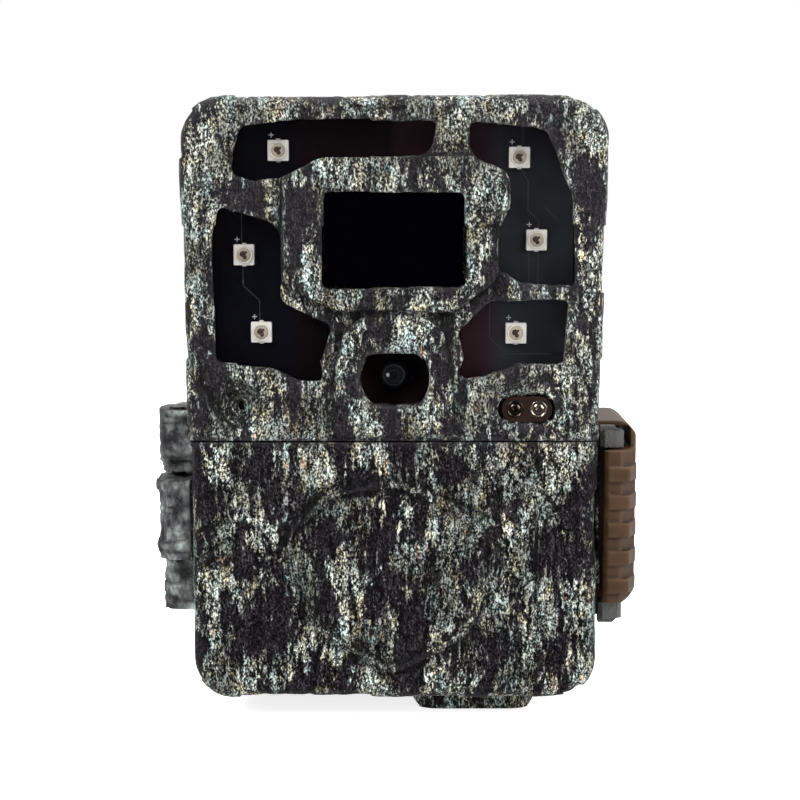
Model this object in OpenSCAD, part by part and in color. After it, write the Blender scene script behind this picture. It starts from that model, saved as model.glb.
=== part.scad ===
// Trail camera: a moulded case that stands upright, facing -Y, with +X to its left hand and +Z up.
// The origin lies under the middle of the whole part, on the surface that it stands on.

/* [Case] */
// Height of the case without the tripod boss
body_h = 119.5; // [112:0.1:126]
// Height of the lower door
door_h = 52.2; // [49:0.1:55]
// Wall thickness of the case
wall = 2.5; // [2:0.1:3]
// Radius of the upper corners
top_r = 9; // [5:0.5:11]
// Radius of the lower corners
bottom_r = 8; // [5:0.5:9]
// Rounding of the front edges
edge_r = 2.4; // [1:0.1:3]
// Depth of the fascia and door skirts
skirt_d = 10; // [9.6:0.1:13]
// Depth of the space for the electronics, behind the skirts
elec_d = 11.6; // [11.6:0.1:15]
// How far the head stands out past the rear housing on each side
head_over = 1.7; // [1.2:0.1:2.2]
// How much wider the head is at its top than at the seam, on each side
head_flare = 1.2; // [0:0.1:1.6]
// How far the door stands out past the rear housing on each side
door_over = 1.3; // [0.5:0.1:1.5]
// Height of the raised motion sensor frame above the face
relief = 2; // [1.4:0.1:2.6]
// Gap along the seam between head and door
seam_gap = 0.3; // [0.3:0.1:1]

/* [Windows and lens] */
// Width of the motion sensor window
pir_w = 26.9; // [22:0.1:28]
// Height of the motion sensor window
pir_h = 17.9; // [14:0.1:19]
// Radius of the lens opening
lens_open_r = 6.45; // [5.6:0.05:7]
// Height of the lens opening between its flats
lens_open_h = 9.7; // [8:0.1:11]
// Outer radius of the lens barrel
barrel_r = 6; // [5:0.1:6.4]
// Radius of the front lens
glass_r = 3.4; // [2.6:0.1:4]
// Side of an infrared LED package
led_side = 4.1; // [3:0.1:4.6]
// Thickness of the smoked window panel
smoke_t = 1.4; // [1:0.1:1.5]
// Width of the status window
status_w = 10.1; // [9:0.1:11]
// Height of the status window
status_h = 5.2; // [4.6:0.1:6]

/* [Battery] */
// Diameter of a battery cell
cell_d = 14.2; // [13.8:0.1:15]
// Length of a battery cell
cell_l = 50.5; // [48:0.1:51]
// Wall of the battery tray
tray_wall = 1; // [0.8:0.1:1.4]
// Space between the battery bay and the side wall
side_bay = 5.2; // [5:0.1:7]

/* [Hinge and latch] */
// How far hinge and latch stand off the rear housing
side_out = 9.8; // [8.6:0.1:11]
// Radius of the hinge pin
hinge_pin_r = 1.5; // [1.2:0.05:1.7]
// Radius of the latch pin
latch_pin_r = 1; // [0.8:0.05:1.1]
// Distance of the latch pin behind the parting plane
latch_back = 22; // [20:0.5:26]
// Height of a raised band on the latch lever
band_h = 2.9; // [2:0.05:3.2]
// Number of raised bands on the latch lever
bands = 5; // [3:1:5]

/* [Controls] */
// Width of the screen module
lcd_w = 36; // [32:0.5:37]
// Height of the screen module
lcd_h = 27; // [22:0.5:27]
// Side of a key cap
key_side = 5.4; // [4.8:0.1:5.6]
// Distance between neighbouring keys
key_pitch = 7.4; // [7.3:0.1:7.8]
// Travel of a key
key_travel = 0.7; // [0.4:0.1:0.8]
// Thickness of the circuit boards
board_t = 1.6; // [1.2:0.1:1.8]

/* [Mounting] */
// Height of the tripod boss under the case
boss_h = 4.8; // [4:0.1:8]
// Length of the tripod boss
boss_l = 25.5; // [18:0.5:30]
// Inner radius of the threaded tripod insert
tripod_r = 3.175; // [3.1:0.005:3.2]
// Outer radius of the threaded tripod insert
insert_r = 4; // [3.8:0.1:4.4]
// Gap for the strap behind the rear housing
strap_gap = 4.4; // [4.2:0.1:6]
// Height of the strap opening
strap_h = 27; // [24:0.5:40]
// Thickness of the tree bracket plate
plate_t = 2.6; // [2:0.1:3.4]
// Distance from the middle to a bracket rib
rib_x = 21; // [16:0.5:28]
// Width of a bracket rib
rib_w = 5; // [4.4:0.1:7]

/* [Hidden] */
$fn = 48;

// Clearances and small allowances
slack = 0.1;
run_gap = 0.3;
slide_gap = 0.4;
bore_gap = 0.05;
cut = 1;
bite = 0.5;

// Battery tray and bay
cell_gap = 0.2;
cols = 4;
rows = 2;
tray_mid = 1;
tray_floor = 5;
tray_top = 2.5;
grip_l = 16;
grip_r = 5;
grip_d = 3;
contact_t = 1.2;
pitch_x = cell_d + cell_gap;
row_d = cell_d + 2 * cell_gap;
tray_w = cols * pitch_x + 2 * tray_wall + cell_gap;
tray_d = rows * row_d + tray_mid;
tray_h = tray_floor + cell_l + 2 * contact_t + tray_top;
bay_wall = 1.2;
bay_pad = 3;
partition = 1.6;

// Widths
housing_w = tray_w + 2 * (run_gap + bay_wall + side_bay + wall);
head_w = housing_w + 2 * head_over;
door_w = housing_w + 2 * door_over;
side_x = housing_w / 2;
inner_x = side_x - wall;
outer_x = side_x + side_out;

// Depths, from the front of the raised frame to the back of the tree bracket
back_wall = 2.4;
back_r = 3;
housing_d = elec_d + partition + slide_gap + tray_d + slide_gap + back_wall;
depth = relief + skirt_d + housing_d + strap_gap + plate_t;
front_y = -depth / 2;
face_y = front_y + relief;
face_in = face_y + wall;
part_y = face_y + skirt_d;
partition_y = part_y + elec_d;
tray_y = partition_y + partition + slide_gap;
back_in = tray_y + tray_d + slide_gap;
back_y = back_in + back_wall;

// Heights
floor_z = boss_h;
floor_in = floor_z + wall;
top_z = boss_h + body_h;
top_in = top_z - wall;
seam_z = boss_h + door_h;
head_z = seam_z + seam_gap / 2;
door_z = seam_z - seam_gap / 2;
head_h = top_z - seam_z;
bay_top = floor_z + tray_h + slide_gap;

// Control panel
bar_low = seam_z - wall;
bar_high = seam_z + wall - bite;
panel_t = 1.5;
panel_y = part_y + 0.8;
panel_back = panel_y + panel_t;
panel_low = floor_in + 2 * run_gap;
panel_high = bar_low - run_gap;
panel_x = inner_x - run_gap;

// Boards behind the panel and the face
standoff = 2.4;
board_back = partition_y - standoff;
board_front = board_back - board_t;
smoke_y = face_in;
smoke_back = smoke_y + smoke_t;
led_h = 2;
led_y = smoke_back + led_h + slack;
led_back = led_y + board_t;

// Lens place above the seam
hood_lip = 2.3;
lens_lift = 0.95;

// Nominal head that the window outlines were drawn on
draw_w = 79.8;
draw_h = 65.4;
function at(x, z) = [x * head_w / draw_w, seam_z + z * head_h / draw_h];
pir_at = at(0, 38.3);
lens_at = [0, head_z + wall + lens_open_r + hood_lip + lens_lift];
status_at = at(25.5, 6.2);
status_gap = 4.6;
mic_at = at(-29.3, 6.8);
led_at = [at(-22, 55), at(-28.7, 35.3), at(-25.5, 20.5), at(24, 53.7), at(27.4, 38.1), at(23.6, 20.3)];

// Window outlines in the face: x, height above the seam, corner radius
win_top_left = [[-28.5, 59, 1], [-17.5, 60.3, 1], [8, 60.3, 0.5], [6.6, 54, 3], [-14, 54, 4],
    [-21, 50.4, 5], [-26.5, 49.8, 1.5], [-30.6, 51, 1]];
win_left = [[-33, 44.4, 0.8], [-22, 40.6, 3], [-22, 26.5, 3], [-12.4, 21.8, 0.8], [-14.3, 15.6, 2],
    [-13.7, 12, 0.5], [-18, 12, 1.5], [-23.4, 14.6, 3], [-33.4, 15.2, 1], [-34, 38, 4]];
win_top_right = [[14.4, 60.2, 0.8], [28.7, 58.7, 1], [33.6, 46.3, 4], [34, 29.8, 0.6], [24, 30.2, 2.5],
    [20.5, 32.6, 2], [20.5, 41.5, 2], [22.2, 44, 2], [22.2, 51, 3.5], [15.8, 53.5, 1.5], [14.4, 55.6, 1]];
win_right = [[12.5, 21, 0.8], [18.5, 26.6, 3], [33.3, 26.9, 0.8], [32.3, 15, 1], [23.5, 15, 4],
    [17, 12.5, 2], [12.9, 12.3, 0.5], [13.7, 15.6, 2]];

// Raised frame round the motion sensor and raised arch round the lens
pir_frame = [[-21, 54, 5], [20.6, 54, 5], [22, 46, 4], [20, 38, 4], [20.2, 31, 3], [11, 24.6, 3],
    [-11, 24.6, 3], [-21.4, 29.5, 4]];
lens_arch = [[-12.4, 1, 2], [-12, 15, 6], [-7.4, 24.6, 5], [7.4, 24.6, 5], [12, 15, 6], [12.4, 1, 2]];
arch_hollow = [[-8.9, 1.6, 2], [-9.4, 13.4, 5], [-6, 20.6, 4], [6, 20.6, 4], [9.4, 13.4, 5], [8.9, 1.6, 2]];

// Hinge
knuckle_r = (side_out - run_gap) / 2;
hinge_x = -(side_x + run_gap + knuckle_r);
hinge_y = part_y + knuckle_r + 0.6;
knuckle_gap = 0.5;
hinge_low = floor_z + 15.3;
knuckle_low = hinge_low + 11.5;
knuckle_high = knuckle_low + 16.7;
hinge_high = knuckle_high + 13.7;
ear_root = 9;
knot = 0.8;
knot_l = 2.4;
neck_l = 1.8;

// Latch
latch_x = side_x + 4.4;
latch_y = part_y + latch_back;
latch_eye = 3.9;
arm_eye = 3;
arm_h = 3.2;
arm_low = floor_z + 15;
lever_low = arm_low + arm_h + slide_gap;
lever_high = lever_low + 31;
arm_high = lever_high + slide_gap;
cap_low = lever_low;
cap_high = arm_high + arm_h + 1.6;
dome_low = arm_high + arm_h + slide_gap;
dome_in = 1.6;
cap_x = outer_x - 1.3;
arm_x = cap_x - 1.5;
arm_in = side_x + head_over + 2 * run_gap;
arm_front = part_y - 3.2;
lip_h = 1;
lip_ease = 1.8;
lip_edge = 0.4;
lip_bevel = 0.8;
catch_w = 1.3;
catch_x = door_w / 2 + catch_w;
catch_y = part_y - 3.5;
catch_d = 2;
nose_x = catch_x + 0.25;
nose_y = catch_y - run_gap / 2;
nose_d = 2.3;
lever_front = nose_y - nose_d;
inset = 0.6;
lever_ease = 4.2;
lever_face = 0.6;
band_slant = 2.7;
side_in = inset / 3;
lever_round = 3.6;
heel = 2;
band_pitch = 5.67;
band_first = 2.2;

// Controls on the panel
pad_x = 18.5;
pad_z = floor_z + 24;
mode_z = pad_z + 2 * key_pitch;
key_out = 1.4;
flange = key_side + 1.2;
lcd_t = 1.6;
lcd_rim = 1;
lcd_view = 1.6;
lcd_gap = 0.8;
lcd_up = 15;
lcd_x = pad_x - key_pitch - flange / 2 - lcd_gap - lcd_rim - lcd_w / 2;
lcd_z = floor_z + lcd_up + lcd_h / 2;
flange_t = 0.8;
key_back = panel_back + slack + flange_t + 0.4;
tact_side = 4.6;
tact_top = key_back + key_travel + 0.2;
knob_x = -10;
knob_w = 4;
knob_h = 2.6;
knob_travel = 4;
knob_z = floor_z + 8.4;
knob_back = panel_back + 2;
body_back = knob_back + 1.6;
post_r = 2.2;
post_x = inner_x - 3;
post_low = panel_low + 2.8;
post_high = panel_high - 2.4;
screw_r = 1;

// Memory card
card_t = 2.1;
card_h = 24;
card_l = 32;
card_low = floor_z + 10;
card_x = inner_x - side_bay / 2;
card_y = panel_y - 2.2;
push_in = 1;
socket_t = side_bay - 0.6;
socket_back = card_y + card_l + push_in + 1.4;

// Power inlet and its cap
jack_x = -24.5;
jack_y = part_y + 7;
jack_side = 8.6;
jack_h = 10;
jack_r = 3.9;
jack_bore = 2.9;
jack_pin = 1;
cap_r = 4.6;
cap_t = 1.2;
cap_hinge_x = jack_x - cap_r - 1.3;
cap_hinge_z = floor_z - 1.4;
cap_hinge_r = 1;
cap_pin_r = 0.5;
cap_span = 2.4;
lug_t = 1.4;

// Tripod boss
boss_x = 16.4;
boss_ease = 1.8;
boss_w = elec_d - 0.6;
boss_y = part_y + boss_w / 2;
insert_z = boss_h + wall - 0.3;

// Tree bracket
rib_l = 100;
rib_top = floor_z + rib_l;
tooth_pitch = 5;
tooth_d = 1.6;
tooth_low = floor_z + 16;
rib_ease = 2;
head_sink = 3.4;
head_t = 1.6;
strap_up = 66;
strap_z = floor_z + strap_up;
plate_low = strap_z - strap_h / 2 - 12;
plate_high = strap_z + strap_h / 2 + 12;
bracket_screw_r = 1.6;
bracket_screw_z = [floor_z + 10, rib_top - 8];
plate_y = back_y + strap_gap;

// Case screws
screw_x = side_x - wall - 2.2;
case_screw_r = 1.4;
screw_end = 2;
case_post_r = 2.7;
case_screw_z = [seam_z + 5.5, top_z - 6];
door_gap = 0.6;
seam_ease = 0.15;
seal_t = 0.4;
seal_w = 1.5;
led_post_at = [at(-17, 29), at(17, 29), at(-17, 49), at(17, 49)];
led_post_r = 1.5;
smoke_low = at(0, 10.4)[1];
hood_r = lens_open_r + hood_lip;
hood_d = 4.2;
hood_t = 1.2;
holder_d = 3.5;
holder_h = 16;
filter_side = 7.4;
mic_r = 2.5;
mic_ring = 1;
mic_sink = 0.8;
mic_hole = 0.6;
can_r = 4.1;
can_rim = 0.6;
ring_h = 0.5;
ring_w = 1.3;
filter_t = 0.7;
filter_travel = 7;
holder_bore = 3.2;
holder_y = board_front - holder_d;
sensor_half = 13;
sensor_reach = 9;
main_low = floor_z + 16;
main_high = lens_at[1] - sensor_reach - 1;
main_x = 30;
main_post = [27, 3];

// Rounded outlines: each corner is x, y and radius, and round corners become short arcs
function unit(v) = v / norm(v);
function turn(a, b) = (b - a + 540) % 360 - 180;
function heading(v) = atan2(v[1], v[0]);
function arc(o, r, a, d, n) = [for (i = [0:n]) o + r * [cos(a + d * i / n), sin(a + d * i / n)]];
function corner(p, c, n, r) =
    let (u = unit(p - c), v = unit(n - c), half = acos(u * v) / 2)
    let (o = c + unit(u + v) * r / sin(half), reach = r / tan(half))
    let (a = heading(c + u * reach - o), b = heading(c + v * reach - o))
    arc(o, r, a, turn(a, b), 6);
function flat2(p) = [p[0], p[1]];
function rounded(pts) = let (n = len(pts)) [for (i = [0:n - 1])
    each corner(flat2(pts[(i + n - 1) % n]), flat2(pts[i]), flat2(pts[(i + 1) % n]), pts[i][2])];
function on_head(pts) = rounded([for (p = pts) let (q = at(p[0], p[1])) [q[0], q[1], p[2]]]);
function frame(x, z0, z1, r0, r1, flare = 0) = rounded([[-x, z0, r0], [x, z0, r0], [x + flare, z1, r1],
    [-x - flare, z1, r1]]);
function plate_round(c, w, h, r) = rounded([[c[0] - w / 2, c[1] - h / 2, r], [c[0] + w / 2, c[1] - h / 2, r],
    [c[0] + w / 2, c[1] + h / 2, r], [c[0] - w / 2, c[1] + h / 2, r]]);

// An outline in X and Z made solid from y0 back to y1
module slab(pts, y0, y1) {
    translate([0, y1, 0]) rotate([90, 0, 0]) linear_extrude(y1 - y0) polygon(pts);
}

module block(x, y, z) {
    translate([x[0], y[0], z[0]]) cube([x[1] - x[0], y[1] - y[0], z[1] - z[0]]);
}

module rod_y(c, r, y0, y1) {
    translate([c[0], y0, c[1]]) rotate([-90, 0, 0]) cylinder(r = r, h = y1 - y0);
}

module rod_z(x, y, r, z0, z1) {
    translate([x, y, z0]) cylinder(r = r, h = z1 - z0);
}

module turned_y(c, y0, profile) {
    translate([c[0], y0, c[1]]) rotate([-90, 0, 0]) rotate_extrude() polygon(profile);
}

module stadium(c, w, h, y0, y1) {
    reach = (w - h) / 2;
    for (s = [-1, 1]) rod_y([c[0] + s * reach, c[1]], h / 2, y0, y1);
    block([c[0] - reach, c[0] + reach], [y0, y1], [c[1] - h / 2, c[1] + h / 2]);
}

// A front cover with its face edges rounded, and its lower and upper edges eased by less
module soft_cover(x, z0, z1, r0, r1, low, high, y1, flare = 0) {
    hull() for (a = [0:22.5:90]) {
        in = edge_r * (1 - cos(a));
        y0 = face_y + edge_r * (1 - sin(a));
        slab(frame(x - in, z0 + min(in, low), z1 - min(in, high), max(r0 - in, 0.5), max(r1 - in, 0.5),
            flare), y0, a == 0 ? y1 : y0 + 0.02);
    }
}

module both_sides() {
    children();
    mirror([1, 0, 0]) children();
}

module hinge_ear(r, z0, z1) {
    rod_z(hinge_x, hinge_y, r, z0, z1);
    block([hinge_x, -side_x + bite], [hinge_y - r, hinge_y + ear_root], [z0, z1]);
    translate([0, 0, z0]) linear_extrude(z1 - z0) polygon([[hinge_x - r, hinge_y], [hinge_x, hinge_y],
        [hinge_x, hinge_y + ear_root], [hinge_x - r / 2, hinge_y + ear_root * 0.7]]);
}

module latch_arm(z0) {
    translate([0, 0, z0]) linear_extrude(arm_h) polygon([[side_x - bite, part_y + run_gap],
        [arm_in, part_y + run_gap], [arm_in, arm_front + lip_bevel], [arm_in + lip_bevel, arm_front],
        [arm_x - lip_bevel, arm_front], [arm_x, arm_front + lip_bevel], [arm_x, latch_y - 3],
        [latch_x + arm_eye, latch_y],
        [latch_x, latch_y + arm_eye], [side_x - bite, latch_y + arm_eye + 2]]);
}

// Block at the front end of a latch arm, taller than the arm, with its outer corners cut off
module latch_lip(z0, z1, low, high) {
    in = lip_bevel;
    slab([[arm_in, z0], [arm_x - low, z0], [arm_x, z0 + low], [arm_x, z1 - high], [arm_x - high, z1],
        [arm_in, z1]], arm_front + in, part_y);
    slab([[arm_in + in, z0 + in], [arm_x - low - in / 2, z0 + in], [arm_x - in, z0 + low + in / 2],
        [arm_x - in, z1 - high - in / 2], [arm_x - high - in / 2, z1 - in], [arm_in + in, z1 - in]],
        arm_front, part_y);
}

module rear_housing() color("#3a3b36") {
    difference() {
        union() {
            difference() {
                union() {
                    soft_tub();
                    boss();
                }
                slab(frame(inner_x, floor_in, top_in - head_over, bottom_r - wall, top_r - wall),
                    part_y - cut, partition_y);
                slab(frame(inner_x, bay_top + wall, top_in - head_over, 1, top_r - wall),
                    partition_y - cut, back_in);
                block([-tray_w / 2 - run_gap, tray_w / 2 + run_gap], [tray_y - slide_gap, back_in],
                    [floor_z - cut, bay_top]);
                both_sides() block([inner_x - side_bay, inner_x], [partition_y - cut, back_in],
                    [floor_z + bottom_r, card_low + card_h + wall]);
            }
            block([-inner_x - bite, inner_x + bite], [part_y, part_y + 3], [bar_low, bar_high]);
            rod_z(boss_x, boss_y, insert_r + 0.6, boss_h, floor_in + bite);
            for (x = [-post_x, post_x], z = [post_low, post_high])
                rod_y([x, z], post_r, panel_back, partition_y + bite);
            for (x = [-main_post[0], main_post[0]], z = [main_low + main_post[1], main_high - main_post[1]])
                rod_y([x, z], main_post[1] - 1, board_back, partition_y + bite);
            for (x = [-sensor_half + 2.5, sensor_half - 2.5], z = [lens_at[1] - 7.4, bay_top + wall - 2.2])
                rod_y([x, z], 1.6, board_back, partition_y + bite);
            for (x = [-screw_x, screw_x], z = case_screw_z) rod_y([x, z], case_post_r, part_y,
                back_in + bite);
            hinge_ear(knuckle_r - knot, hinge_low, knuckle_low - knuckle_gap);
            hinge_ear(knuckle_r - knot, knuckle_high + knuckle_gap, hinge_high);
            hinge_ear(knuckle_r, knuckle_high + knuckle_gap + knot_l, hinge_high);
            latch_arm(arm_low);
            latch_arm(arm_high);
            latch_lip(arm_low - lip_h, arm_low + arm_h, lip_ease, lip_edge);
            latch_lip(arm_high, arm_high + arm_h + lip_h, lip_edge, lip_ease);
            for (s = [-1, 1]) cap_lug(s);
        }
        rod_z(hinge_x, hinge_y, hinge_pin_r, hinge_low + 1, hinge_high + cut);
        rod_z(latch_x, latch_y, latch_pin_r, arm_low - cut, cap_high + cut);
        rod_z(boss_x, boss_y, insert_r, -cut, insert_z);
        rod_z(jack_x, jack_y, jack_r + slack, floor_z - cut, floor_in + cut);
        translate([cap_hinge_x, jack_y - 9, cap_hinge_z]) rotate([-90, 0, 0]) cylinder(r = cap_pin_r,
            h = 18);
        for (x = [-screw_x, screw_x], z = case_screw_z) {
            rod_y([x, z], case_screw_r, part_y - cut, back_y + cut);
            rod_y([x, z], case_screw_r + 1.2, back_y - 3, back_y + cut);
        }
        for (x = [-post_x, post_x], z = [post_low, post_high])
            rod_y([x, z], screw_r, panel_back - cut, panel_back + 5);
        for (x = [-rib_x, rib_x], z = bracket_screw_z) rod_y([x, z], bracket_screw_r, back_in + 0.2,
            back_y + cut);
    }
}

// Tripod boss: a round-ended block under the case, chamfered at both ends
module boss() {
    reach = (boss_l - boss_w) / 2;
    x = boss_l / 2;
    intersection() {
        union() {
            for (s = [-1, 1]) rod_z(boss_x + s * reach, boss_y, boss_w / 2, 0, floor_in);
            block([boss_x - reach, boss_x + reach], [boss_y - boss_w / 2, boss_y + boss_w / 2], [0,
                floor_in]);
        }
        slab([[boss_x - x + boss_ease, 0], [boss_x + x - boss_ease, 0], [boss_x + x, boss_ease],
            [boss_x + x, floor_in], [boss_x - x, floor_in], [boss_x - x, boss_ease]],
            boss_y - boss_w, boss_y + boss_w);
    }
}

// Outside of the rear housing, with its back edges rounded
module soft_tub() {
    hull() for (a = [0:22.5:90]) {
        in = back_r * (1 - cos(a));
        y1 = back_y - back_r * (1 - sin(a));
        slab(frame(side_x - in, floor_z + in, top_z - head_over - in, bottom_r - in, top_r - in),
            a == 0 ? part_y : y1 - 0.02, y1);
    }
}

module cap_lug(s) {
    y0 = jack_y + s * (cap_span + run_gap + lug_t / 2) - lug_t / 2;
    translate([cap_hinge_x, y0, cap_hinge_z]) rotate([-90, 0, 0]) cylinder(r = cap_hinge_r, h = lug_t);
    block([cap_hinge_x - cap_hinge_r, cap_hinge_x + cap_hinge_r], [y0, y0 + lug_t], [cap_hinge_z,
        floor_z + bite]);
}

module front_fascia() color("#4c5148") {
    difference() {
        union() {
            soft_cover(head_w / 2, head_z, top_z, 1, top_r, seam_ease, edge_r, part_y, head_flare);
            slab(on_head(pir_frame), front_y, face_y + bite);
            slab(on_head(lens_arch), face_y - relief / 2, face_y + bite);
            for (grow = [2.6, 5.2]) difference() {
                stadium(status_at, status_w + grow, status_h + grow, face_y - ring_h, face_y + bite);
                stadium(status_at, status_w + grow - ring_w, status_h + grow - ring_w, face_y - cut,
                    face_y + cut);
            }
        }
        difference() {
            slab(frame(head_w / 2 - wall, head_z + wall, top_in, 1, top_r - wall), face_in, part_y + cut);
            for (p = led_post_at) rod_y(p, led_post_r, face_in - bite, led_y);
            for (x = [-screw_x, screw_x], z = case_screw_z) rod_y([x, z], case_post_r, face_in - bite,
                part_y);
        }
        for (w = [win_top_left, win_left, win_top_right, win_right]) slab(on_head(w), front_y - cut,
            face_in + cut);
        slab(plate_round(pir_at, pir_w, pir_h, 1), front_y - cut, face_y + relief / 2);
        slab(plate_round(pir_at, pir_w - 3, pir_h - 3, 1), front_y - cut, face_in + cut);
        slab(on_head(arch_hollow), front_y - cut, face_y);
        intersection() {
            rod_y(lens_at, lens_open_r, front_y - cut, face_in + cut);
            block([-barrel_r * 2, barrel_r * 2], [front_y - cut, face_in + cut],
                [lens_at[1] - lens_open_h / 2, lens_at[1] + lens_open_h / 2]);
        }
        stadium(status_at, status_w, status_h, face_y - cut, face_y + 1.2);
        stadium(status_at, status_w - 1, status_h - 1, face_y - cut, face_in + cut);
        rod_y(mic_at, mic_r + mic_ring, face_y - cut, face_y + mic_sink);
        rod_y(mic_at, mic_hole, face_y - cut, face_in + cut);
        for (x = [-screw_x, screw_x], z = case_screw_z)
            rod_y([x, z], case_screw_r, face_in + screw_end, part_y + cut);
    }
    difference() {
        rod_y(mic_at, mic_r, face_y, face_y + mic_sink + bite);
        rod_y(mic_at, mic_r - mic_ring, face_y - cut, face_y + mic_sink);
        rod_y(mic_at, mic_hole, face_y - cut, face_in + cut);
    }
}

module case_screws() color("#8d8f90")
    for (x = [-screw_x, screw_x], z = case_screw_z) {
        rod_y([x, z], case_screw_r, face_in + screw_end + 0.4, back_y - 2.8);
        rod_y([x, z], case_screw_r + 1.1, back_y - 2.9, back_y - 1.2);
    }

module led_window() color("#120d10") {
    x = head_w / 2 - wall - run_gap;
    difference() {
        slab(frame(x, smoke_low, top_in - run_gap, 1, top_r - wall), smoke_y, smoke_back);
        for (s = [-1, 1]) rod_y([s * screw_x, case_screw_z[1]], case_post_r + slack, smoke_y - cut,
            smoke_back + cut);
        for (p = led_post_at) rod_y(p, led_post_r + slack, smoke_y - cut, smoke_back + cut);
        slab(plate_round(pir_at, pir_w - 3, pir_h - 3, 1), smoke_y - cut, smoke_back + cut);
        rod_y(lens_at, hood_r + run_gap, smoke_y - cut, smoke_back + cut);
        block([-hood_r - run_gap, hood_r + run_gap], [smoke_y - cut, smoke_back + cut], [seam_z,
            lens_at[1]]);
    }
}

module led_board() color("#1d3a2a") {
    x = screw_x - case_post_r - run_gap;
    notch = 15.6;
    difference() {
        slab(frame(x, head_z + wall + 1, top_in - 1, 1, 2), led_y, led_back);
        block([-notch, notch], [led_y - cut, led_back + cut], [seam_z, lens_at[1] + notch - 2]);
    }
}

module ir_leds() color("#d8d6c8")
    for (p = led_at) {
        slab(plate_round(p, led_side, led_side, 0.4), led_y - led_h / 2, led_y);
        rod_y(p, led_side / 2 - 0.4, led_y - led_h, led_y - led_h / 2);
    }

module pir_window() color("#0a0a0c")
    slab(plate_round(pir_at, pir_w - 2 * slack, pir_h - 2 * slack, 0.8), face_y - relief / 4,
        face_y + relief / 2);

module pir_sensor() color("#b9bcc0") {
    rod_y(pir_at, can_r, face_in - can_rim, led_y);
    rod_y(pir_at, can_r + can_rim, led_y - can_rim, led_y);
}

module lens_hood() color("#1a1214")
    turned_y(lens_at, smoke_y, [[lens_open_r + 0.2, 0], [hood_r, 0], [hood_r, hood_t], [hood_r - 1, hood_t],
        [glass_r + 1.4, hood_d], [glass_r + 0.1, hood_d]]);

module lens_barrel() color("#1c1c1e")
    turned_y(lens_at, smoke_y + hood_d, [[glass_r, 0], [barrel_r, 0], [barrel_r,
        holder_y - smoke_y - hood_d],
        [glass_r - 1, holder_y - smoke_y - hood_d], [glass_r - 1, 3], [glass_r, 3]]);

module lens_glass() color("#22303c") {
    crown = 0.9;
    ball = (glass_r * glass_r + crown * crown) / (2 * crown);
    intersection() {
        rod_y(lens_at, glass_r, smoke_y + hood_d, smoke_y + hood_d + 3);
        translate([lens_at[0], smoke_y + hood_d + ball + slack, lens_at[1]]) sphere(r = ball);
    }
}

module lens_holder() color("#202124")
    difference() {
        block([-9, 13], [holder_y, board_front], [lens_at[1] - holder_h / 2, lens_at[1] + holder_h / 2]);
        rod_y(lens_at, holder_bore, holder_y - cut, board_front + cut);
        block([-filter_side / 2 - run_gap, filter_side / 2 + filter_travel + run_gap],
            [holder_y + 1, holder_y + 1 + filter_t + 2 * run_gap],
            [lens_at[1] - filter_side / 2 - run_gap, lens_at[1] + filter_side / 2 + run_gap]);
    }

module ir_cut_filter() color("#5a3b52")
    block([-filter_side / 2, filter_side / 2], [holder_y + 1 + run_gap, holder_y + 1 + run_gap + filter_t],
        [lens_at[1] - filter_side / 2, lens_at[1] + filter_side / 2]);

module sensor_board() color("#1d3a2a") {
    block([-sensor_half, sensor_half], [board_front, board_back],
        [lens_at[1] - sensor_reach, lens_at[1] + sensor_reach]);
    block([-2.2, 2.2], [board_front - 1.1, board_front], [lens_at[1] - 1.8, lens_at[1] + 1.8]);
}

module status_window() color("#4a3326")
    difference() {
        stadium(status_at, status_w - 2 * slack, status_h - 2 * slack, face_y + 0.2, face_y + 1.2);
        for (s = [-1, 1]) rod_y(status_at + [s * status_gap / 2, 0], 1.7, face_y - cut, face_in);
    }

module status_lamp(s) {
    rod_y(status_at + [s * status_gap / 2, 0], 1.7, face_y + 0.1, led_y);
}

module status_led() color("#6b5a50") status_lamp(-1);

module light_sensor() color("#c9b58c") status_lamp(1);

module microphone() color("#7b7d80") rod_y(mic_at, mic_r - bite, face_in, led_y);

module main_board() color("#1d3a2a")
    block([-main_x, main_x], [board_front, board_back], [main_low, main_high]);

// Keys: a mode key over a cross of four arrows round the enter key
function key_place(name) = name == "mode" ? [pad_x, mode_z] :
    [pad_x, pad_z] + key_pitch * (name == "up" ? [0, 1] : name == "down" ? [0, -1] :
    name == "left" ? [-1, 0] : name == "right" ? [1, 0] : [0, 0]);
key_names = ["mode", "up", "down", "left", "right", "enter"];

module key_switches() color("#26272a")
    for (name = key_names) {
        slab(plate_round(key_place(name), tact_side, tact_side, 0.4), tact_top + 1, board_front);
        rod_y(key_place(name), 1.4, tact_top, tact_top + 1);
    }

module key(name) {
    slab(plate_round(key_place(name), key_side, key_side, 1.2), panel_y - key_out, panel_back + slack);
    slab(plate_round(key_place(name), flange, flange, 0.8), panel_back + slack,
        panel_back + slack + flange_t);
    rod_y(key_place(name), 1.6, panel_back + slack + flange_t, key_back);
}

module key_mode() color("#6a6d70") key("mode");

module key_up() color("#6a6d70") key("up");

module key_down() color("#6a6d70") key("down");

module key_left() color("#6a6d70") key("left");

module key_right() color("#6a6d70") key("right");

module key_enter() color("#8a4a2a") key("enter");

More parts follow.
